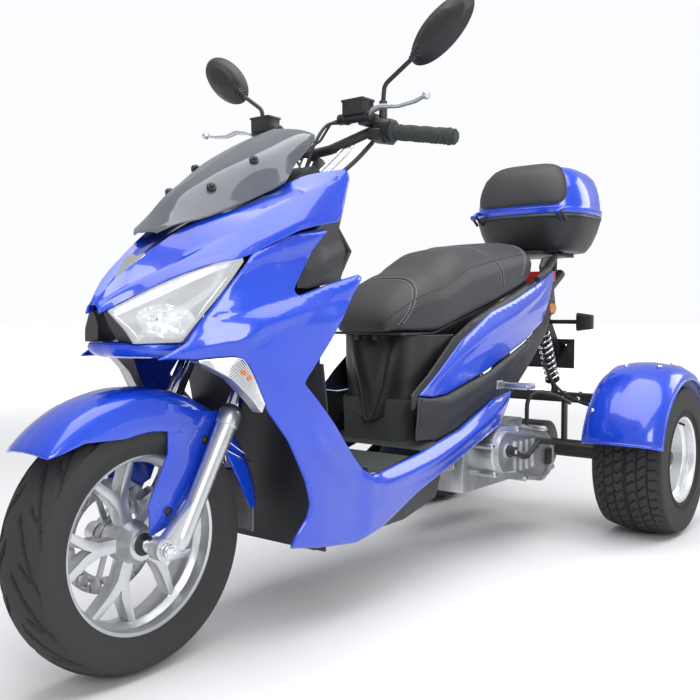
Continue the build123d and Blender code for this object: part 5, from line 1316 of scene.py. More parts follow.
class Cabin:
    """The dark mouldings round the rider: leg shield, seat pod, chin and the lamps' insides."""

    SHOULDER = Skin(((1388, ((178, 860), (180, 790), (184, 712))), (1310, ((176, 868), (179, 800), (184, 720))),
                     (1246, ((166, 886), (166, 806), (174, 730))), (1180, ((150, 886), (150, 800), (158, 736)))),
                    (Fold(((1370, 745), (1290, 775), (1190, 802)), 5, 26, 22, 2, 0.05),))
    LAMP = Skin(((1718, ((22, 672), (34, 652), (46, 630), (52, 600))),
                 (1688, ((36, 688), (52, 664), (68, 640), (77, 600))),
                 (1634, ((66, 718), (88, 690), (106, 650), (112, 600))),
                 (1594, ((96, 740), (113, 712), (125, 680), (127, 620))),
                 (1547, ((132, 762), (141, 735), (147, 710), (145, 650))),
                 (1497, ((155, 800), (159, 770), (161, 755), (158, 720)))))
    LAMP_TOP = Spline((1502, 1547, 1594, 1634, 1711), (770, 758, 737, 715, 670))

    def leg_shield(self, make: Maker) -> None:
        """Make the rider-side wall, its facets and its shoulders."""
        wall_x, shelf_z, drop, half = 1229, 737, 399, 172
        flat, bend, tuck, wing = 0.35, 0.55, 46, 74
        profile = [(wall_x, 883), (1227, 861), (wall_x, 851), (1182, 800), (1209, 760), (wall_x, shelf_z)]
        upper = [[make.at(x, -160 + 320 * j / 24, z) for j in range(25)] for x, z in profile]
        lower = []
        for i in range(31):
            t = i / 30
            row = []
            for j in range(41):
                sweep = max(0.0, (abs(j / 20 - 1) - flat) / (1 - flat))
                x = wall_x - tuck * max(0.0, t - bend) / (1 - bend) + wing * sweep ** 1.5
                row.append(make.at(x, (j / 20 - 1) * half, shelf_z - drop * t))
            lower.append(row)
        shapes = [BodyWork.sheet(upper), BodyWork.sheet(lower)]
        for side in (1, -1):
            roof = [[make.at(x, side * y, shelf_z + 0.5) for y in (60, 110, half)] for x in (wall_x, 1262, 1303)]
            shapes.append(BodyWork.sheet(roof))
        panel(make, "leg_shield_shoulders", (
            (1232, 883), (1227, 861), (1229, 851), (1182, 800), (1209, 760), (1229, 736), (1350, 715), (1382, 716),
            (1350, 820), (1300, 850), (1254, 883)), self.SHOULDER, Look.BLACK, "black_plastic", ("leg_shield",),
              lip=3.0, corner=3.0)
        walled(make.add("leg_shield_wall", shapes, "chassis", Look.BLACK, "black_plastic"), 0.004, 0.0)

    def pod(self, make: Maker) -> None:
        """Make the pointed shell below the seat's nose, with two ridges that meet at its foot."""
        corner, foot, top, back_x, back_y = 0.72, 392, 613, 722, 137
        heights = (390, 433, 478, 533, 606)
        front = Spline(heights, (903, 896, 889, 892, 893))
        wide = Spline(heights, (108, 118, 124, 127, 128))
        rows = []
        for i in range(61):
            v = i / 60
            row = []
            for j in range(101):
                u = j / 50 - 1
                t = abs(u)
                reach = min(1.0, t / corner)
                low = foot + 56 * reach ** 0.9
                z = low + (top - low) * v
                half = wide(z)
                if t <= corner:
                    y = half * math.sin(reach * math.pi / 2) ** 0.94
                    x = front(z) - 8 * reach - 92 * (1 - math.cos(reach * math.pi / 2)) ** 1.7
                else:
                    back = (t - corner) / 0.28
                    y = half + (back_y - half) * math.sin(back * math.pi / 2)
                    x = front(z) - 100 - (front(z) - 100 - back_x) * back
                crest = 4 + 62 * max(0.0, (z - 396) / 217) ** 0.8
                x += 9 * math.exp(-((y - crest) / 13) ** 2) * min(1.0, (top - z) / 50)
                x -= 10 * math.exp(-((z - 612) / 26) ** 2) * max(0.0, 1 - y / 90)
                row.append(make.at(x, math.copysign(y, u) if u else 0.0, z))
            rows.append(row)
        verts, faces = BodyWork.sheet(rows)
        BodyWork.finish(make, "pod_skin", [(verts, faces)], Look.BLACK, "black_plastic", ("seat_pod",), 0.003)
        skirt = []
        for z in (352, 460):
            skirt.append([make.at(880 - 105 * abs(math.sin(a)) ** 2.4, 104 * math.sin(a), z)
                          for a in (math.pi * (j / 30 - 1) / 2 for j in range(61))])
        walled(make.add("pod_skirt", [BodyWork.sheet(skirt)], "chassis", Look.MAT, "floor_rubber"), 0.003)

    def chin(self, make: Maker) -> None:
        """Make the lip under the lamps."""
        half = [(1704, 0), (1704, 30), (1694, 56), (1668, 88), (1640, 102), (1600, 110), (1562, 112)]
        plan = smooth_path([Vector((x, y, 0)) for x, y in half], 6)
        rows = []
        for z, inset in ((611.4, 3.0), (608, 0.5), (603, 0.0), (597, 3.0), (591, 9.0), (587, 18.0)):
            left = [make.at(max(1560, p.x - inset), max(0.0, p.y - inset * 0.6 * min(1, p.y / 40)), z) for p in plan]
            right = [Vector((p.x, -p.y, p.z)) for p in left[::-1]]
            rows.append(left[::-1] + right[::-1][1:])
        roof = [[make.at(1562, 112 - 224 * j / (len(rows[0]) - 1), 611.4) for j in range(len(rows[0]))], rows[0]]
        made = make.join("chin_lip", [BodyWork.sheet(rows), BodyWork.sheet(roof)], "chassis", Look.BLUE)
        walled(made, 0.0025, 0.0)
        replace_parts(made, "chin_panel")

    def lamps(self, make: Maker) -> None:
        """Make the headlamps: smooth lens, bright brow, faceted bowl, bulb and inner bars."""
        panel(make, "headlamp_glass", (
            (1711.5, 670.5), (1634, 716), (1594, 738), (1547, 759), (1502, 771), (1500.5, 763), (1617, 614),
            (1690, 612)), self.LAMP, Look.LENS, "clear_lens", ("headlamp_lenses",), lip=2.0, wall=0.0012,
              corner=3.0)
        outline = rounded(((1710, 669), (1634, 714.5), (1594, 736.5), (1547, 757.5), (1503, 769), (1501.5, 763.5),
                           (1617.5, 615), (1689.5, 613.5)), 8.0, 3.0)
        walls = []
        for side in (1, -1):
            rim, back = ([make.at(x, side * max(14.0, self.LAMP.side(x, z) - deep), z) for x, z in outline]
                         for deep in (2.0, 42.0))
            walls.append(BodyWork.sheet([rim + rim[:1], back + back[:1]]))
            walls.append((back, [tuple(range(len(back)))]))
        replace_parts(make.add("headlamp_housings", walls, "chassis", Look.BLACK, "lamp_reflector"), "headlamps")
        brows, bowls, bulbs, bars = [], [], [], []
        bowl_x, bowl_z = 1633, 652
        grille = [(8, 0.0011, [(x, 632 + k * 19) for x in (1668, 1640, 1604)]) for k in range(3)]
        grille += [(8, 0.0011, [(x, z) for z in (628, 652, 678)]) for x in (1652, 1616)]
        grille += [(6, 0.0022, [(1704, 664), (1690, 640), (1678, 618)]),
                   (8, 0.0016, [(1600, 640), (1568, 686), (1530, 734)])]
        for side in (1, -1):
            rows = []
            for i in range(41):
                x = 1700 - 176 * i / 40
                top = self.LAMP_TOP(x) - 4
                deep = 3 + 12 * math.sin(math.pi * (0.25 + 0.62 * i / 40))
                rows.append([make.at(x, side * (self.LAMP.side(x, top - deep * s) - 5 - 3 * s), top - deep * s)
                             for s in (0, 0.5, 1)])
            brows.append(BodyWork.sheet(rows))
            rows = []
            for r in (0.08, 0.3, 0.52, 0.72, 0.88, 1.0):
                ring = []
                for j in range(18):
                    a = math.tau * j / 18
                    x, z = bowl_x + 43 * r * math.cos(a), bowl_z + 31 * r * math.sin(a)
                    z = min(z, self.LAMP_TOP(x) - 20)
                    ring.append(make.at(x, side * (self.LAMP.side(x, z) - 7 - 30 * (1 - r * r)), z))
                rows.append(ring)
            bowls.append(grid(rows, caps=False))
            spot = make.at(bowl_x, side * (self.LAMP.side(bowl_x, bowl_z) - 34), bowl_z)
            out = Vector((0.62, side * 0.78, 0.0)).normalized()
            bulbs.append(turned(spot, out, [(0, 0.006), (0.008, 0.0075), (0.014, 0.0105), (0.021, 0.0105),
                                            (0.026, 0.007), (0.028, 0)], 24))
            for deep, size, line in grille:
                bars.append(pipe([make.at(x, side * (self.LAMP.side(x, z) - deep), z) for x, z in line], size, 8))
        for name, shapes, look, smooth in (("headlamp_brows", brows, Look.SILVER, 40), ("headlamp_bowls", bowls,
                                           Look.BOWL, 0), ("headlamp_bars", bars, Look.CHROME, 40)):
            make.add(name, shapes, "chassis", look, "lamp_reflector", smooth)
        make.add("headlamp_bulbs", bulbs, "chassis", Look.CHROME, "lamp_reflector")

    def indicators(self, make: Maker) -> None:
        """Make the ribs and bulbs of the front indicators."""
        upper = [(1592, 580.5), (1535, 584), (1516, 567), (1479, 496)]
        lower = [(1592, 579), (1560, 562), (1536, 543), (1484, 482)]
        ribs, bulbs = [], []
        for side in (1, -1):
            for k in range(11):
                s = k / 10
                line = [Vector((a[0] + (b[0] - a[0]) * s, a[1] + (b[1] - a[1]) * s, 0)) for a, b in zip(upper, lower)]
                path = [make.at(p.x, side * (Side.FAIRING.side(p.x, p.y) + 0.2), p.y) for p in smooth_path(line, 8)]
                ribs.append(pipe(path, 0.0011, 6))
            for x, z in ((1522, 558), (1512, 548)):
                spot = make.at(x, side * (Side.FAIRING.side(x, z) - 2), z)
                bulbs.append(turned(spot, Vector((0, side, 0)), [(0, 0.0062), (0.0024, 0.006), (0.004, 0.0035),
                                                                 (0.0044, 0)], 20))
        make.add("indicator_ribs", ribs, "chassis", Look.CHROME, "clear_lens")
        make.add("indicator_bulbs", bulbs, "chassis", Look.AMBER, "clear_lens")

    def build(self, make: Maker) -> None:
        """Make every moulding."""
        self.leg_shield(make)
        self.pod(make)
        self.chin(make)
        self.lamps(make)
        self.indicators(make)


# ---------------------------------------------------------------------------------------------------
# Padded pieces
# ---------------------------------------------------------------------------------------------------
def between(table: Sequence[tuple[float, ...]], x: float, column: int) -> float:
    """Read a column of a falling table at x, rounded through its rows."""
    rows = list(table)
    for i in range(len(rows) - 1):
        x0, x1 = rows[i][0], rows[i + 1][0]
        if x1 <= x <= x0:
            t = (x0 - x) / (x0 - x1)
            before = rows[max(i - 1, 0)][column]
            a, b = rows[i][column], rows[i + 1][column]
            after = rows[min(i + 2, len(rows) - 1)][column]
            m0, m1 = (b - before) / 2, (after - a) / 2
            return ((2 * t ** 3 - 3 * t ** 2 + 1) * a + (t ** 3 - 2 * t ** 2 + t) * m0
                    + (-2 * t ** 3 + 3 * t ** 2) * b + (t ** 3 - t ** 2) * m1)
    return rows[-1][column] if x < rows[-1][0] else rows[0][column]


@dataclass
class SeatCushion:
    """The stepped cushion with its piping and light stitching."""

    stations: tuple[Point, ...] = (
        (940, 66, 642), (934, 80, 662), (920, 97, 684), (900, 112, 706), (876, 123, 727), (850, 133, 745),
        (820, 141, 760), (785, 148, 773), (745, 150, 784), (712, 150, 800), (680, 149, 820), (640, 148, 839),
        (560, 147, 853), (480, 146, 865), (400, 144, 874), (330, 139, 880), (270, 129, 879), (230, 116, 868),
        (210, 104, 846))
    floor: tuple[tuple[float, float], ...] = ((945, 620), (785, 620), (500, 692), (262, 762), (200, 780))

    def base(self, x: float) -> float:
        """Height of the cushion's underside."""
        for (x0, z0), (x1, z1) in zip(self.floor, self.floor[1:]):
            if x1 <= x <= x0:
                return z0 + (z1 - z0) * (x - x0) / (x1 - x0)
        return self.floor[0][1]

    def spot(self, x: float, turn: float) -> tuple[float, float]:
        """Return (y, z) on the cover, with turn from 0 at the left lower edge to 1 at the right one."""
        half, top, low = between(self.stations, x, 1), between(self.stations, x, 2), self.base(x)
        height = top - low
        a = math.pi * turn
        c, s = math.cos(a), math.sin(a)
        y = half * swell(c, 0.62)
        z = low + height * (0.1 + 0.9 * abs(s) ** 0.72)
        tuck = 1 - 0.09 * max(0.0, 1 - s / 0.35)
        crown = 1.0 - 0.012 * math.exp(-((s - 0.86) / 0.05) ** 2)
        return y * tuck, low + (z - low) * crown

    def seam(self, start: float, swing: float, offset: float = 0.0) -> Callable[[float], float]:
        """Return the lengthwise place of a seam that crosses the seat, for each turn."""
        return lambda turn: start - swing * math.sin(math.pi * turn) ** 1.3 + offset

    def line(self, make: Maker, where: Callable[[float], float], lift: float, count: int = 90,
             ends: tuple[float, float] = (0.02, 0.98)) -> list[Vector]:
        """Sample a line on the cover."""
        points = []
        for i in range(count + 1):
            turn = ends[0] + (ends[1] - ends[0]) * i / count
            x = where(turn)
            y, z = self.spot(x, turn)
            a = math.pi * turn
            points.append(make.at(x, y + lift * math.cos(a), z + lift * math.sin(a)))
        return points

    def stitches(self, points: Sequence[Vector], pitch: float = 0.0078, length: float = 0.0056
                 ) -> list[tuple[list, list]]:
        """Lay short thread stitches along a line."""
        shapes, travelled, place = [], 0.0, pitch
        for a, b in zip(points, points[1:]):
            step = (b - a).length
            while travelled + step > place:
                p = a + (b - a) * ((place - travelled) / step)
                d = (b - a).normalized()
                shapes.append(pipe([p - d * length / 2, p - d * length * 0.3, p + d * length * 0.3, p + d * length / 2],
                                   [0.0004, 0.0009, 0.0009, 0.0004], 6))
                place += pitch
            travelled += step
        return shapes

    def build(self, make: Maker) -> None:
        """Make the cushion, piping and stitches."""
        rings = []
        nose, length, around = self.stations[0][0], 731, 56
        for x in (nose - length * (i / 80) ** 1.12 for i in range(81)):
            ring = [make.at(x, *self.spot(x, j / around)) for j in range(around + 1)]
            low = self.base(x)
            left, right = self.spot(x, 0.0)[0], self.spot(x, 1.0)[0]
            ring += [make.at(x, right * 0.94, low), make.at(x, 0, low), make.at(x, left * 0.94, low)]
            rings.append(ring)
        verts, faces = grid(rings)
        seat = make.piece("seat_cushion", verts, faces, "seat_lid", Look.VINYL, 60)
        subdivided(seat, 1)
        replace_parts(seat, "seat")
        piping, thread = [], []
        for start, swing in ((912, 86), (452, -84), (330, 74)):
            piping.append(pipe(self.line(make, self.seam(start, swing), 0.4), 0.0016, 8))
            for offset in (6, -6):
                thread += self.stitches(self.line(make, self.seam(start, swing, offset), 0.3))
        for turn in (0.2, 0.8):
            edge = []
            for x in (930 - 712 * i / 119 for i in range(120)):
                edge.append(make.at(x, *self.spot(x, turn)))
            piping.append(pipe(edge, 0.0015, 8))
        make.add("seat_piping", piping, "seat_lid", Look.VINYL, "seat_vinyl")
        make.add("seat_stitching", thread, "seat_lid", Look.THREAD, "seat_vinyl")


@dataclass
class TopCase:
    """The luggage case: base, lid, rim band, back rest, hinges and reflector."""

    centre: float = -43.5
    length: float = 161.0
    half: float = 194.5
    power: float = 3.0
    wall: float = 0.0035
    lid_levels: tuple[tuple[float, float], ...] = (
        (1.0, 985.6), (1.005, 987), (1.005, 1001), (0.985, 1003), (0.98, 1007), (0.975, 1024), (0.955, 1052),
        (0.92, 1078), (0.865, 1104), (0.775, 1125), (0.65, 1138.5), (0.49, 1145.5), (0.3, 1148), (0.12, 1148.6),
        (0.01, 1148.8))
    base_levels: tuple[tuple[float, float], ...] = (
        (0.02, 868.6), (0.5, 868.5), (0.7, 868.6), (0.745, 870), (0.78, 876), (0.85, 896), (0.93, 932),
        (0.975, 962), (0.985, 972), (0.985, 974), (1.0, 975), (1.0, 984.6))

    def spot(self, make: Maker, share: float, z: float, a: float, grow: float = 0.0) -> Vector:
        """Place a point on the case's skin at a share of the plan, a height and a turn from the front."""
        c, s = math.cos(a), math.sin(a)
        e = 2 / self.power
        x = (self.length * share + grow) * swell(c, e)
        y = (self.half * share + grow) * swell(s, e)
        slope = 10.0 * max(0.0, -x / self.length) if 985 < z < 1110 else 0.0
        return make.at(self.centre + x, y, z + slope * (1 if z > 990 else 0.0))

    def shell(self, make: Maker, name: str, levels: Sequence[tuple[float, float]], body: str, look: Look
              ) -> bpy.types.Object:
        """Make one thin-walled half of the case."""
        count = 96
        rings = [[self.spot(make, share, z, math.tau * (j + 0.5) / count) for j in range(count)]
                 for share, z in levels]
        verts, faces = grid(rings, caps=False)
        return walled(make.piece(name, verts, faces, body, look, 50), self.wall)

    def level_at(self, t: float) -> tuple[float, float]:
        """Return (share, height) of the lid's skin from its rim (0) to its top (1)."""
        rows = self.lid_levels[4:]
        f = t * (len(rows) - 1)
        i = min(int(f), len(rows) - 2)
        return tuple(a + (b - a) * (f - i) for a, b in zip(rows[i], rows[i + 1]))

    def pad(self, make: Maker) -> None:
        """Make the padded back rest, laid over the lid's front as a crowned form."""
        rings = []
        around = 72

        def place(rho: float, phi: float, lift: float) -> Vector:
            """Place a point by its share of the way from the pad's middle, its turn and its height."""
            c, s = math.cos(phi), math.sin(phi)
            square, near, middle_up, half_up = 0.42, 0.02, 0.405, 0.365
            a = 0.86 * rho * swell(c, square) * 0.98
            up = middle_up + half_up * rho * swell(s, square)
            p = self.spot(make, *self.level_at(up), a)
            q = self.spot(make, *self.level_at(up), a + near)
            r = self.spot(make, *self.level_at(min(1.0, up + near)), a)
            normal = (q - p).cross(r - p)
            if normal.length < 1e-9:
                normal = Vector((1, 0, 0.3))
            normal.normalize()
            middle = make.at(self.centre, 0, 1040)
            if normal.dot(p - middle) < 0:
                normal = -normal
            return p + normal * lift
        profile = [(0.02, 0.0122), (0.2, 0.0122), (0.4, 0.0121), (0.6, 0.0118), (0.76, 0.011), (0.87, 0.0094),
                   (0.94, 0.0074), (0.98, 0.0048), (1.0, 0.0018), (0.995, 0.0008), (0.9, 0.0006), (0.5, 0.0006),
                   (0.02, 0.0006)]
        for rho, lift in profile:
            rings.append([place(rho, math.tau * j / around, lift) for j in range(around)])
        verts, faces = grid(rings)
        pad = make.piece("case_back_rest", verts, faces, "case_lid", Look.VINYL, 60)
        subdivided(pad, 1)
        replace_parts(pad, "top_case_pad")
        edge = [place(0.985, math.tau * j / 120, 0.0046) for j in range(121)]
        make.add("back_rest_piping", [pipe(edge, 0.0015, 8)], "case_lid", Look.VINYL, "seat_vinyl")

    def hinges(self, make: Maker) -> None:
        """Make the two hinges: blue knuckles on the lid, dark forks and pins on the base."""
        pin_x, pin_z, across_pin = 126, 985, Vector((0, 1, 0))
        lid, base = [], []
        for side in (1, -1):
            y = side * 150
            lid.append(turned(make.at(pin_x, y - 6.5, pin_z), across_pin, [(0, 0.0074), (0.013, 0.0074)], 20))
            lid.append(pipe(smooth_path([make.at(88, y, 1000), make.at(106, y, 999), make.at(120, y, 992),
                                         make.at(pin_x, y, pin_z + 2)], 4), 0.0062, 12))
            for dy in (-10.6, 7.2):
                base.append(turned(make.at(pin_x, y + dy, pin_z), across_pin, [(0, 0.0072), (0.0034, 0.0072)], 20))
                base.append(pipe([make.at(90, y + dy + 1.7, 962), make.at(110, y + dy + 1.7, 976),
                                  make.at(125, y + dy + 1.7, 983)], 0.0045, 10))
            base.append(turned(make.at(pin_x, y - 12, pin_z), across_pin, [(0, 0.0032), (0.024, 0.0032)], 14))
        make.add("case_lid_knuckles", lid, "case_lid", Look.BLUE, "blue_paint")
        make.add("case_base_forks", base, "chassis", Look.BLACK, "black_plastic")

    def build(self, make: Maker) -> None:
        """Make the whole case."""
        lid = self.shell(make, "case_lid_skin", self.lid_levels, "case_lid", Look.BLUE)
        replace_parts(lid, "top_case_lid")
        base = self.shell(make, "case_base_skin", self.base_levels, "chassis", Look.BLACK)
        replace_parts(base, "top_case_base")
        self.pad(make)
        self.hinges(make)
        rows = []
        for i in range(7):
            t = i / 6
            share, z = self.level_at(0.40 + 0.2 * t)
            rows.append([self.spot(make, share, z, math.pi + (j / 20 - 0.5) * (1.5 - 0.3 * t), 1.6)
                         for j in range(21)])
        lens = make.add("case_reflector", [grid(rows, closed=False)], "case_lid", Look.RED, "red_lens")
        walled(lens, self.wall)
        lock = turned(make.at(-204, 0, 992), Vector((-1, 0, 0.1)), [(0, 0.011), (0.004, 0.011), (0.006, 0.009),
                                                                    (0.006, 0)], 28)
        make.add("case_lock", [lock], "case_lid", Look.CHROME, "chromed_steel")


# ---------------------------------------------------------------------------------------------------
# Tail, engine and rear axle
# ---------------------------------------------------------------------------------------------------
@dataclass
class TailTrim:
    """The round side reflectors below the seat."""

    def build(self, make: Maker) -> None:
        """Add the small parts of the tail."""
        rings, lenses = [], []
        for side in (1, -1):
            out = Vector((0.25, side, 0)).normalized()
            spot = make.at(112, side * 119.5, 684)
            rings.append(turned(spot, out, [(0, 0.02), (0.006, 0.0198), (0.0075, 0.0185), (0.0075, 0.0165)], 40))
            lenses.append(turned(spot, out, [(0, 0.0165), (0.0072, 0.0165), (0.0092, 0.0145), (0.0102, 0.008),
                                             (0.0105, 0)], 40))
        make.add("side_reflector_rims", rings, "chassis", Look.STEEL, "black_steel")
        make.add("side_reflectors", lenses, "chassis", Look.AMBER, "red_lens")


@dataclass
class EngineTrim:
    """Cover bolts, the blank plate, the kick lever, springs and hoses."""

    coils: int = 9

    def cover(self, make: Maker) -> None:
        """Add bolts and the bare plate to the belt cover."""
        heads = []
        for ahead, z in ((578, 306), (560, 226), (430, 338), (380, 190), (250, 320), (200, 200), (196, 268)):
            heads += bolt(make.at(ahead, 174, z), Vector((0, 1, 0)), 0.0052)
        make.add("cover_bolts", heads, "chassis", Look.CHROME, "chromed_steel")
        x0, x1, z0, z1, y = 226, 268, 214, 262, 183.2
        cx, cz, square = (x0 + x1) / 2, (z0 + z1) / 2, 0.3
        rows = []
        for share, lift in ((1.0, -0.9), (1.0, 0.2), (0.96, 0.5), (0.3, 0.5)):
            ring = []
            for j in range(40):
                a = math.tau * j / 40
                c, s = math.cos(a), math.sin(a)
                ring.append(make.at(cx + (x1 - x0) / 2 * share * swell(c, square), y + lift,
                                    cz + (z1 - z0) / 2 * share * swell(s, square)))
            rows.append(ring)
        make.add("cover_plate", [grid(rows)], "chassis", Look.STEEL, "black_steel")

    def kick(self, make: Maker) -> None:
        """Make the kick lever: a ribbed upright arm with a folding pedal and its boss bolt."""
        boss = [turned(make.at(500, 183, 285), Vector((0, 1, 0)), [(0, 0.017), (0.006, 0.017), (0.008, 0.0135),
                                                                    (0.02, 0.013), (0.021, 0.009), (0.021, 0)], 28)]
        path = smooth_path([make.at(500, 197, 285), make.at(470, 199, 272), make.at(436, 202, 264),
                            make.at(398, 204, 280), make.at(362, 206, 300)], 8)
        arm = [pipe(path, [0.0085 - 0.002 * abs(math.sin(i * 0.7)) * (i / len(path)) for i in range(len(path))], 14)]
        rings = []
        for i in range(45):
            t = i / 44
            r = 0.0088 - (0.0012 if int(t * 22) % 2 else 0.0)
            rings.append([make.at(360, 198 + 52 * t, 300) + Vector((math.cos(a) * r, 0, math.sin(a) * r))
                          for a in turns(20)])
        made = make.add("kick_lever_arm", [*boss, *arm, grid(rings)], "chassis", Look.STEEL, "black_steel")
        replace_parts(made, "kick_starter")
        head = bolt(make.at(500, 204, 285), Vector((0, 1, 0)), 0.0055)
        make.add("kick_boss_bolt", head, "chassis", Look.CHROME, "chromed_steel")

    def shocks(self, make: Maker) -> None:
        """Make the coil-over shocks with real coils."""
        wires, bodies = [], []
        for side in (1, -1):
            low = make.at(20, side * 96, 410.3)
            top = make.at(150, side * 96, 668)
            d = (top - low).normalized()
            u, v = across(d)
            reach = (top - low).length
            bodies.append(turned(low, d, [(0, 0.009), (0.01, 0.0125), (0.02, 0.0085), (0.045, 0.0085), (0.046, 0.0235),
                                          (0.052, 0.0235), (0.053, 0.015), (reach * 0.62, 0.015),
                                          (reach * 0.625, 0.0062), (reach - 0.06, 0.0062), (reach - 0.059, 0.0235),
                                          (reach - 0.052, 0.0235), (reach - 0.05, 0.011), (reach, 0.009)], 28))
            points = []
            start, stop = 0.056, reach - 0.062
            steps = self.coils * 22
            for i in range(steps + 1):
                a = math.tau * self.coils * i / steps
                along = start + (stop - start) * i / steps
                points.append(low + d * along + (u * math.cos(a) + v * math.sin(a)) * 0.0198)
            wires.append(pipe(points, 0.0036, 10))
        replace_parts(make.add("shock_bodies", bodies, "chassis", Look.STEEL, "black_steel"), "shock_absorbers")
        make.add("shock_springs", wires, "chassis", Look.CHROME, "chromed_steel")

    def plumbing(self, make: Maker) -> None:
        """Add the carrier's bent tubes, hoses and bolt heads."""
        tubes = [
            [(204, 232, 398), (210, 180, 420), (236, 140, 428), (262, 120, 404), (250, 110, 330)],
            [(60, 238, 376), (110, 190, 404), (150, 150, 452), (176, 126, 520)],
            [(40, -120, 396), (110, -112, 440), (190, -106, 520), (240, -100, 560)],
        ]
        shapes = [pipe(smooth_path([make.at(*p) for p in run], 8), 0.0042 if i else 0.0064, 12)
                  for i, run in enumerate(tubes)]
        make.add("carrier_lines", shapes, "chassis", Look.BLACK, "black_plastic")
        heads = []
        for side in (1, -1):
            for y in (120, 175, 230):
                heads += bolt(make.at(0, side * y, 410), Vector((0, 0, 1)), 0.006)
                heads += bolt(make.at(20, side * y, 395), Vector((1, 0, 0)), 0.005)
        make.add("carrier_bolts", heads, "chassis", Look.CHROME, "chromed_steel")

    def build(self, make: Maker) -> None:
        """Add all engine and axle details."""
        self.cover(make)
        self.kick(make)
        self.shocks(make)
        self.plumbing(make)


@dataclass
class RearFender:
    """Rolled lips and bolts on the rear mudguards."""

    radius: float = 290.0
    inner: float = 287.0
    outer: float = 517.0
    start: float = 14.0
    sweep: float = 152.0
    profile: tuple[tuple[float, float], ...] = ((-34, 0), (-12, 20), (-2, 66), (0, 118), (-8, 190), (-26, 220),
                                                (-46, 230))

    def spot(self, make: Maker, drop: float, across_: float, angle: float, side: int) -> Vector:
        """Place a point on the mudguard."""
        a = math.radians(angle)
        r = self.radius + drop
        return make.at(r * math.cos(a), side * (self.inner + across_), 229 + r * math.sin(a))

    def build(self, make: Maker) -> None:
        """Add the rolled lips and the domed bolts."""
        lips, heads = [], []
        for side in (1, -1):
            for (drop, y), inset, size in ((self.profile[-1], -1.5, 0.0042), (self.profile[0], 1.0, 0.0034)):
                arc = [self.spot(make, drop, y + inset, self.start + self.sweep * i / 60, side) for i in range(61)]
                lips.append(pipe(arc, size, 12))
            for angle in (self.start, self.start + self.sweep):
                edge = [self.spot(make, drop - 1.2, y, angle, side) for drop, y in self.profile]
                lips.append(pipe(smooth_path(edge, 5), 0.0042, 12))
            for drop, y, angle in ((-3.2, 58, 78), (-2.4, 160, 78), (-3.2, 58, 102), (-2.4, 160, 102), (-13, 22, 34)):
                base = self.spot(make, drop, y, angle, side)
                a = math.radians(angle)
                out = Vector((math.cos(a), side * (-0.25 if y < 100 else 0.2), math.sin(a))).normalized()
                heads.append(turned(base, out, [(-0.001, 0.0085), (0.0016, 0.0085), (0.0018, 0.0068), (0.0036, 0.0055),
                                                (0.0046, 0.003), (0.0048, 0)], 24))
        make.add("rear_fender_lips", lips, "chassis", Look.BLUE, "blue_paint")
        make.add("rear_fender_bolts", heads, "chassis", Look.CHROME, "chromed_steel")


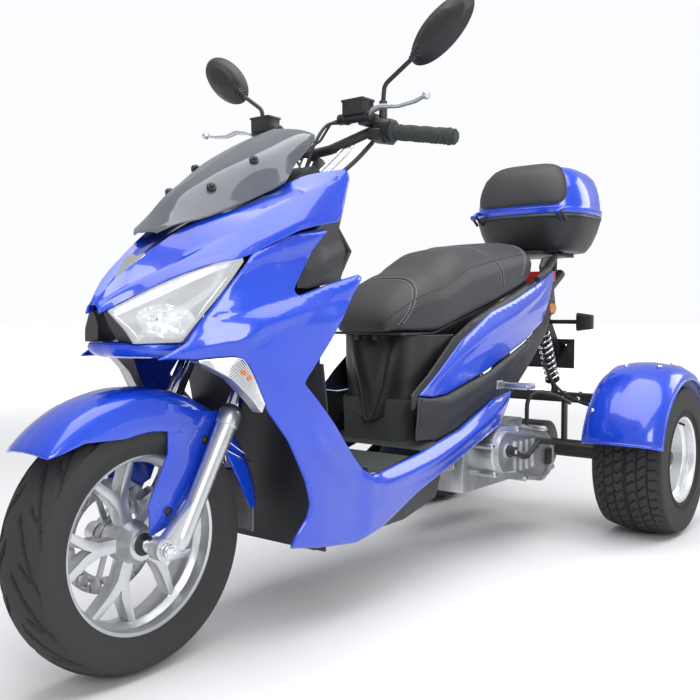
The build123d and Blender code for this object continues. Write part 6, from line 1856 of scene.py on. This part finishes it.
# ---------------------------------------------------------------------------------------------------
# Stage
# ---------------------------------------------------------------------------------------------------
@dataclass
class Studio:
    """Floor, lights and camera."""

    eye: Point = (1.8402, 1.3089, 0.6663)
    yaw: float = -141.72
    pitch: float = -2.42
    roll: float = 0.08
    lens: float = 44.26

    def camera(self) -> None:
        """Place the camera."""
        data = bpy.data.cameras.new("camera")
        data.lens = self.lens
        data.sensor_width = 36.0
        data.clip_start = 0.05
        data.clip_end = 200.0
        cam = bpy.data.objects.new("camera", data)
        bpy.context.scene.collection.objects.link(cam)
        yaw, pitch = math.radians(self.yaw), math.radians(self.pitch)
        ahead = Vector((math.cos(yaw) * math.cos(pitch), math.sin(yaw) * math.cos(pitch), math.sin(pitch)))
        cam.rotation_mode = "QUATERNION"
        cam.rotation_quaternion = ahead.to_track_quat("-Z", "Y") @ Quaternion((0, 0, 1), math.radians(self.roll))
        cam.location = self.eye
        bpy.context.scene.camera = cam

    def lamp(self, name: str, place: Point, aim: Point, size: float, power: float) -> None:
        """Hang one soft box."""
        data = bpy.data.lights.new(name, "AREA")
        data.shape = "SQUARE"
        data.size = size
        data.energy = power
        lamp = bpy.data.objects.new(name, data)
        bpy.context.scene.collection.objects.link(lamp)
        lamp.location = place
        lamp.rotation_mode = "QUATERNION"
        lamp.rotation_quaternion = (Vector(aim) - Vector(place)).to_track_quat("-Z", "Y")

    def build(self) -> None:
        """Set the floor, world, lights, camera and colour handling."""
        count, below = 64, -0.0005
        rings = [[(r * math.cos(math.tau * j / count), r * math.sin(math.tau * j / count), below)
                  for j in range(count)] for r in (0.00005, 2.0, 6.0, 20.0, 60.0)]
        verts, faces = grid(rings, caps=False)
        mesh = bpy.data.meshes.new("studio_ground")
        mesh.from_pydata(verts, [], faces)
        mesh.flip_normals()
        mesh.materials.append(Look.FLOOR.material)
        floor = bpy.data.objects.new("studio_ground", mesh)
        bpy.context.scene.collection.objects.link(floor)
        world = bpy.data.worlds.new("studio")
        bpy.context.scene.world = world
        world.use_nodes = True
        tree = world.node_tree
        shade = tree.nodes["Background"]
        shade.inputs["Color"].default_value = (0.97, 0.98, 1.0, 1.0)
        seen = tree.nodes.new("ShaderNodeLightPath")
        span = tree.nodes.new("ShaderNodeMapRange")
        span.inputs["To Min"].default_value = 0.5
        span.inputs["To Max"].default_value = 1.0
        tree.links.new(seen.outputs["Is Camera Ray"], span.inputs["Value"])
        tree.links.new(span.outputs["Result"], shade.inputs["Strength"])
        self.lamp("overhead", (0.3, 0.5, 3.4), (0.1, 0.0, 0.2), 3.6, 130.0)
        self.lamp("key", (2.6, 3.6, 2.4), (0.2, 0.1, 0.5), 1.6, 60.0)
        self.lamp("rim", (-2.8, 1.8, 2.2), (-0.4, 0.2, 0.5), 1.4, 26.0)
        bpy.context.scene.view_settings.view_transform = "Standard"
        self.camera()


def main() -> None:
    """Build the scene, piece by piece."""
    logging.basicConfig(level=logging.INFO, format="%(message)s")
    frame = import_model()
    make = Maker()
    CadDressing(frame).build()
    LOG.info("dressed %d nodes", len(frame["nodes"]))
    tyres = [
        TyreSkin("front_tyre", "front_wheel", TreadKind.SWEPT, 0.243, 0.130, 0.165, 0.051),
        TyreSkin("rear_tyre_left", "rear_wheel_left", TreadKind.BLOCKS, 0.229, 0.206, 0.127, 0.098),
        TyreSkin("rear_tyre_right", "rear_wheel_right", TreadKind.BLOCKS, 0.229, 0.206, 0.127, 0.098),
    ]
    for tyre in tyres:
        LOG.info("made %s", tyre.build(make).name)
    for trim in (WheelTrim(), ForkTrim(), BodyWork(), Cabin(), NoseTrim(), Controls(), SeatCushion(), TopCase(),
                 TailTrim(), EngineTrim(), RearFender()):
        trim.build(make)
        LOG.info("made %s", type(trim).__name__)
    Studio().build()


if __name__ == "__main__":
    main()
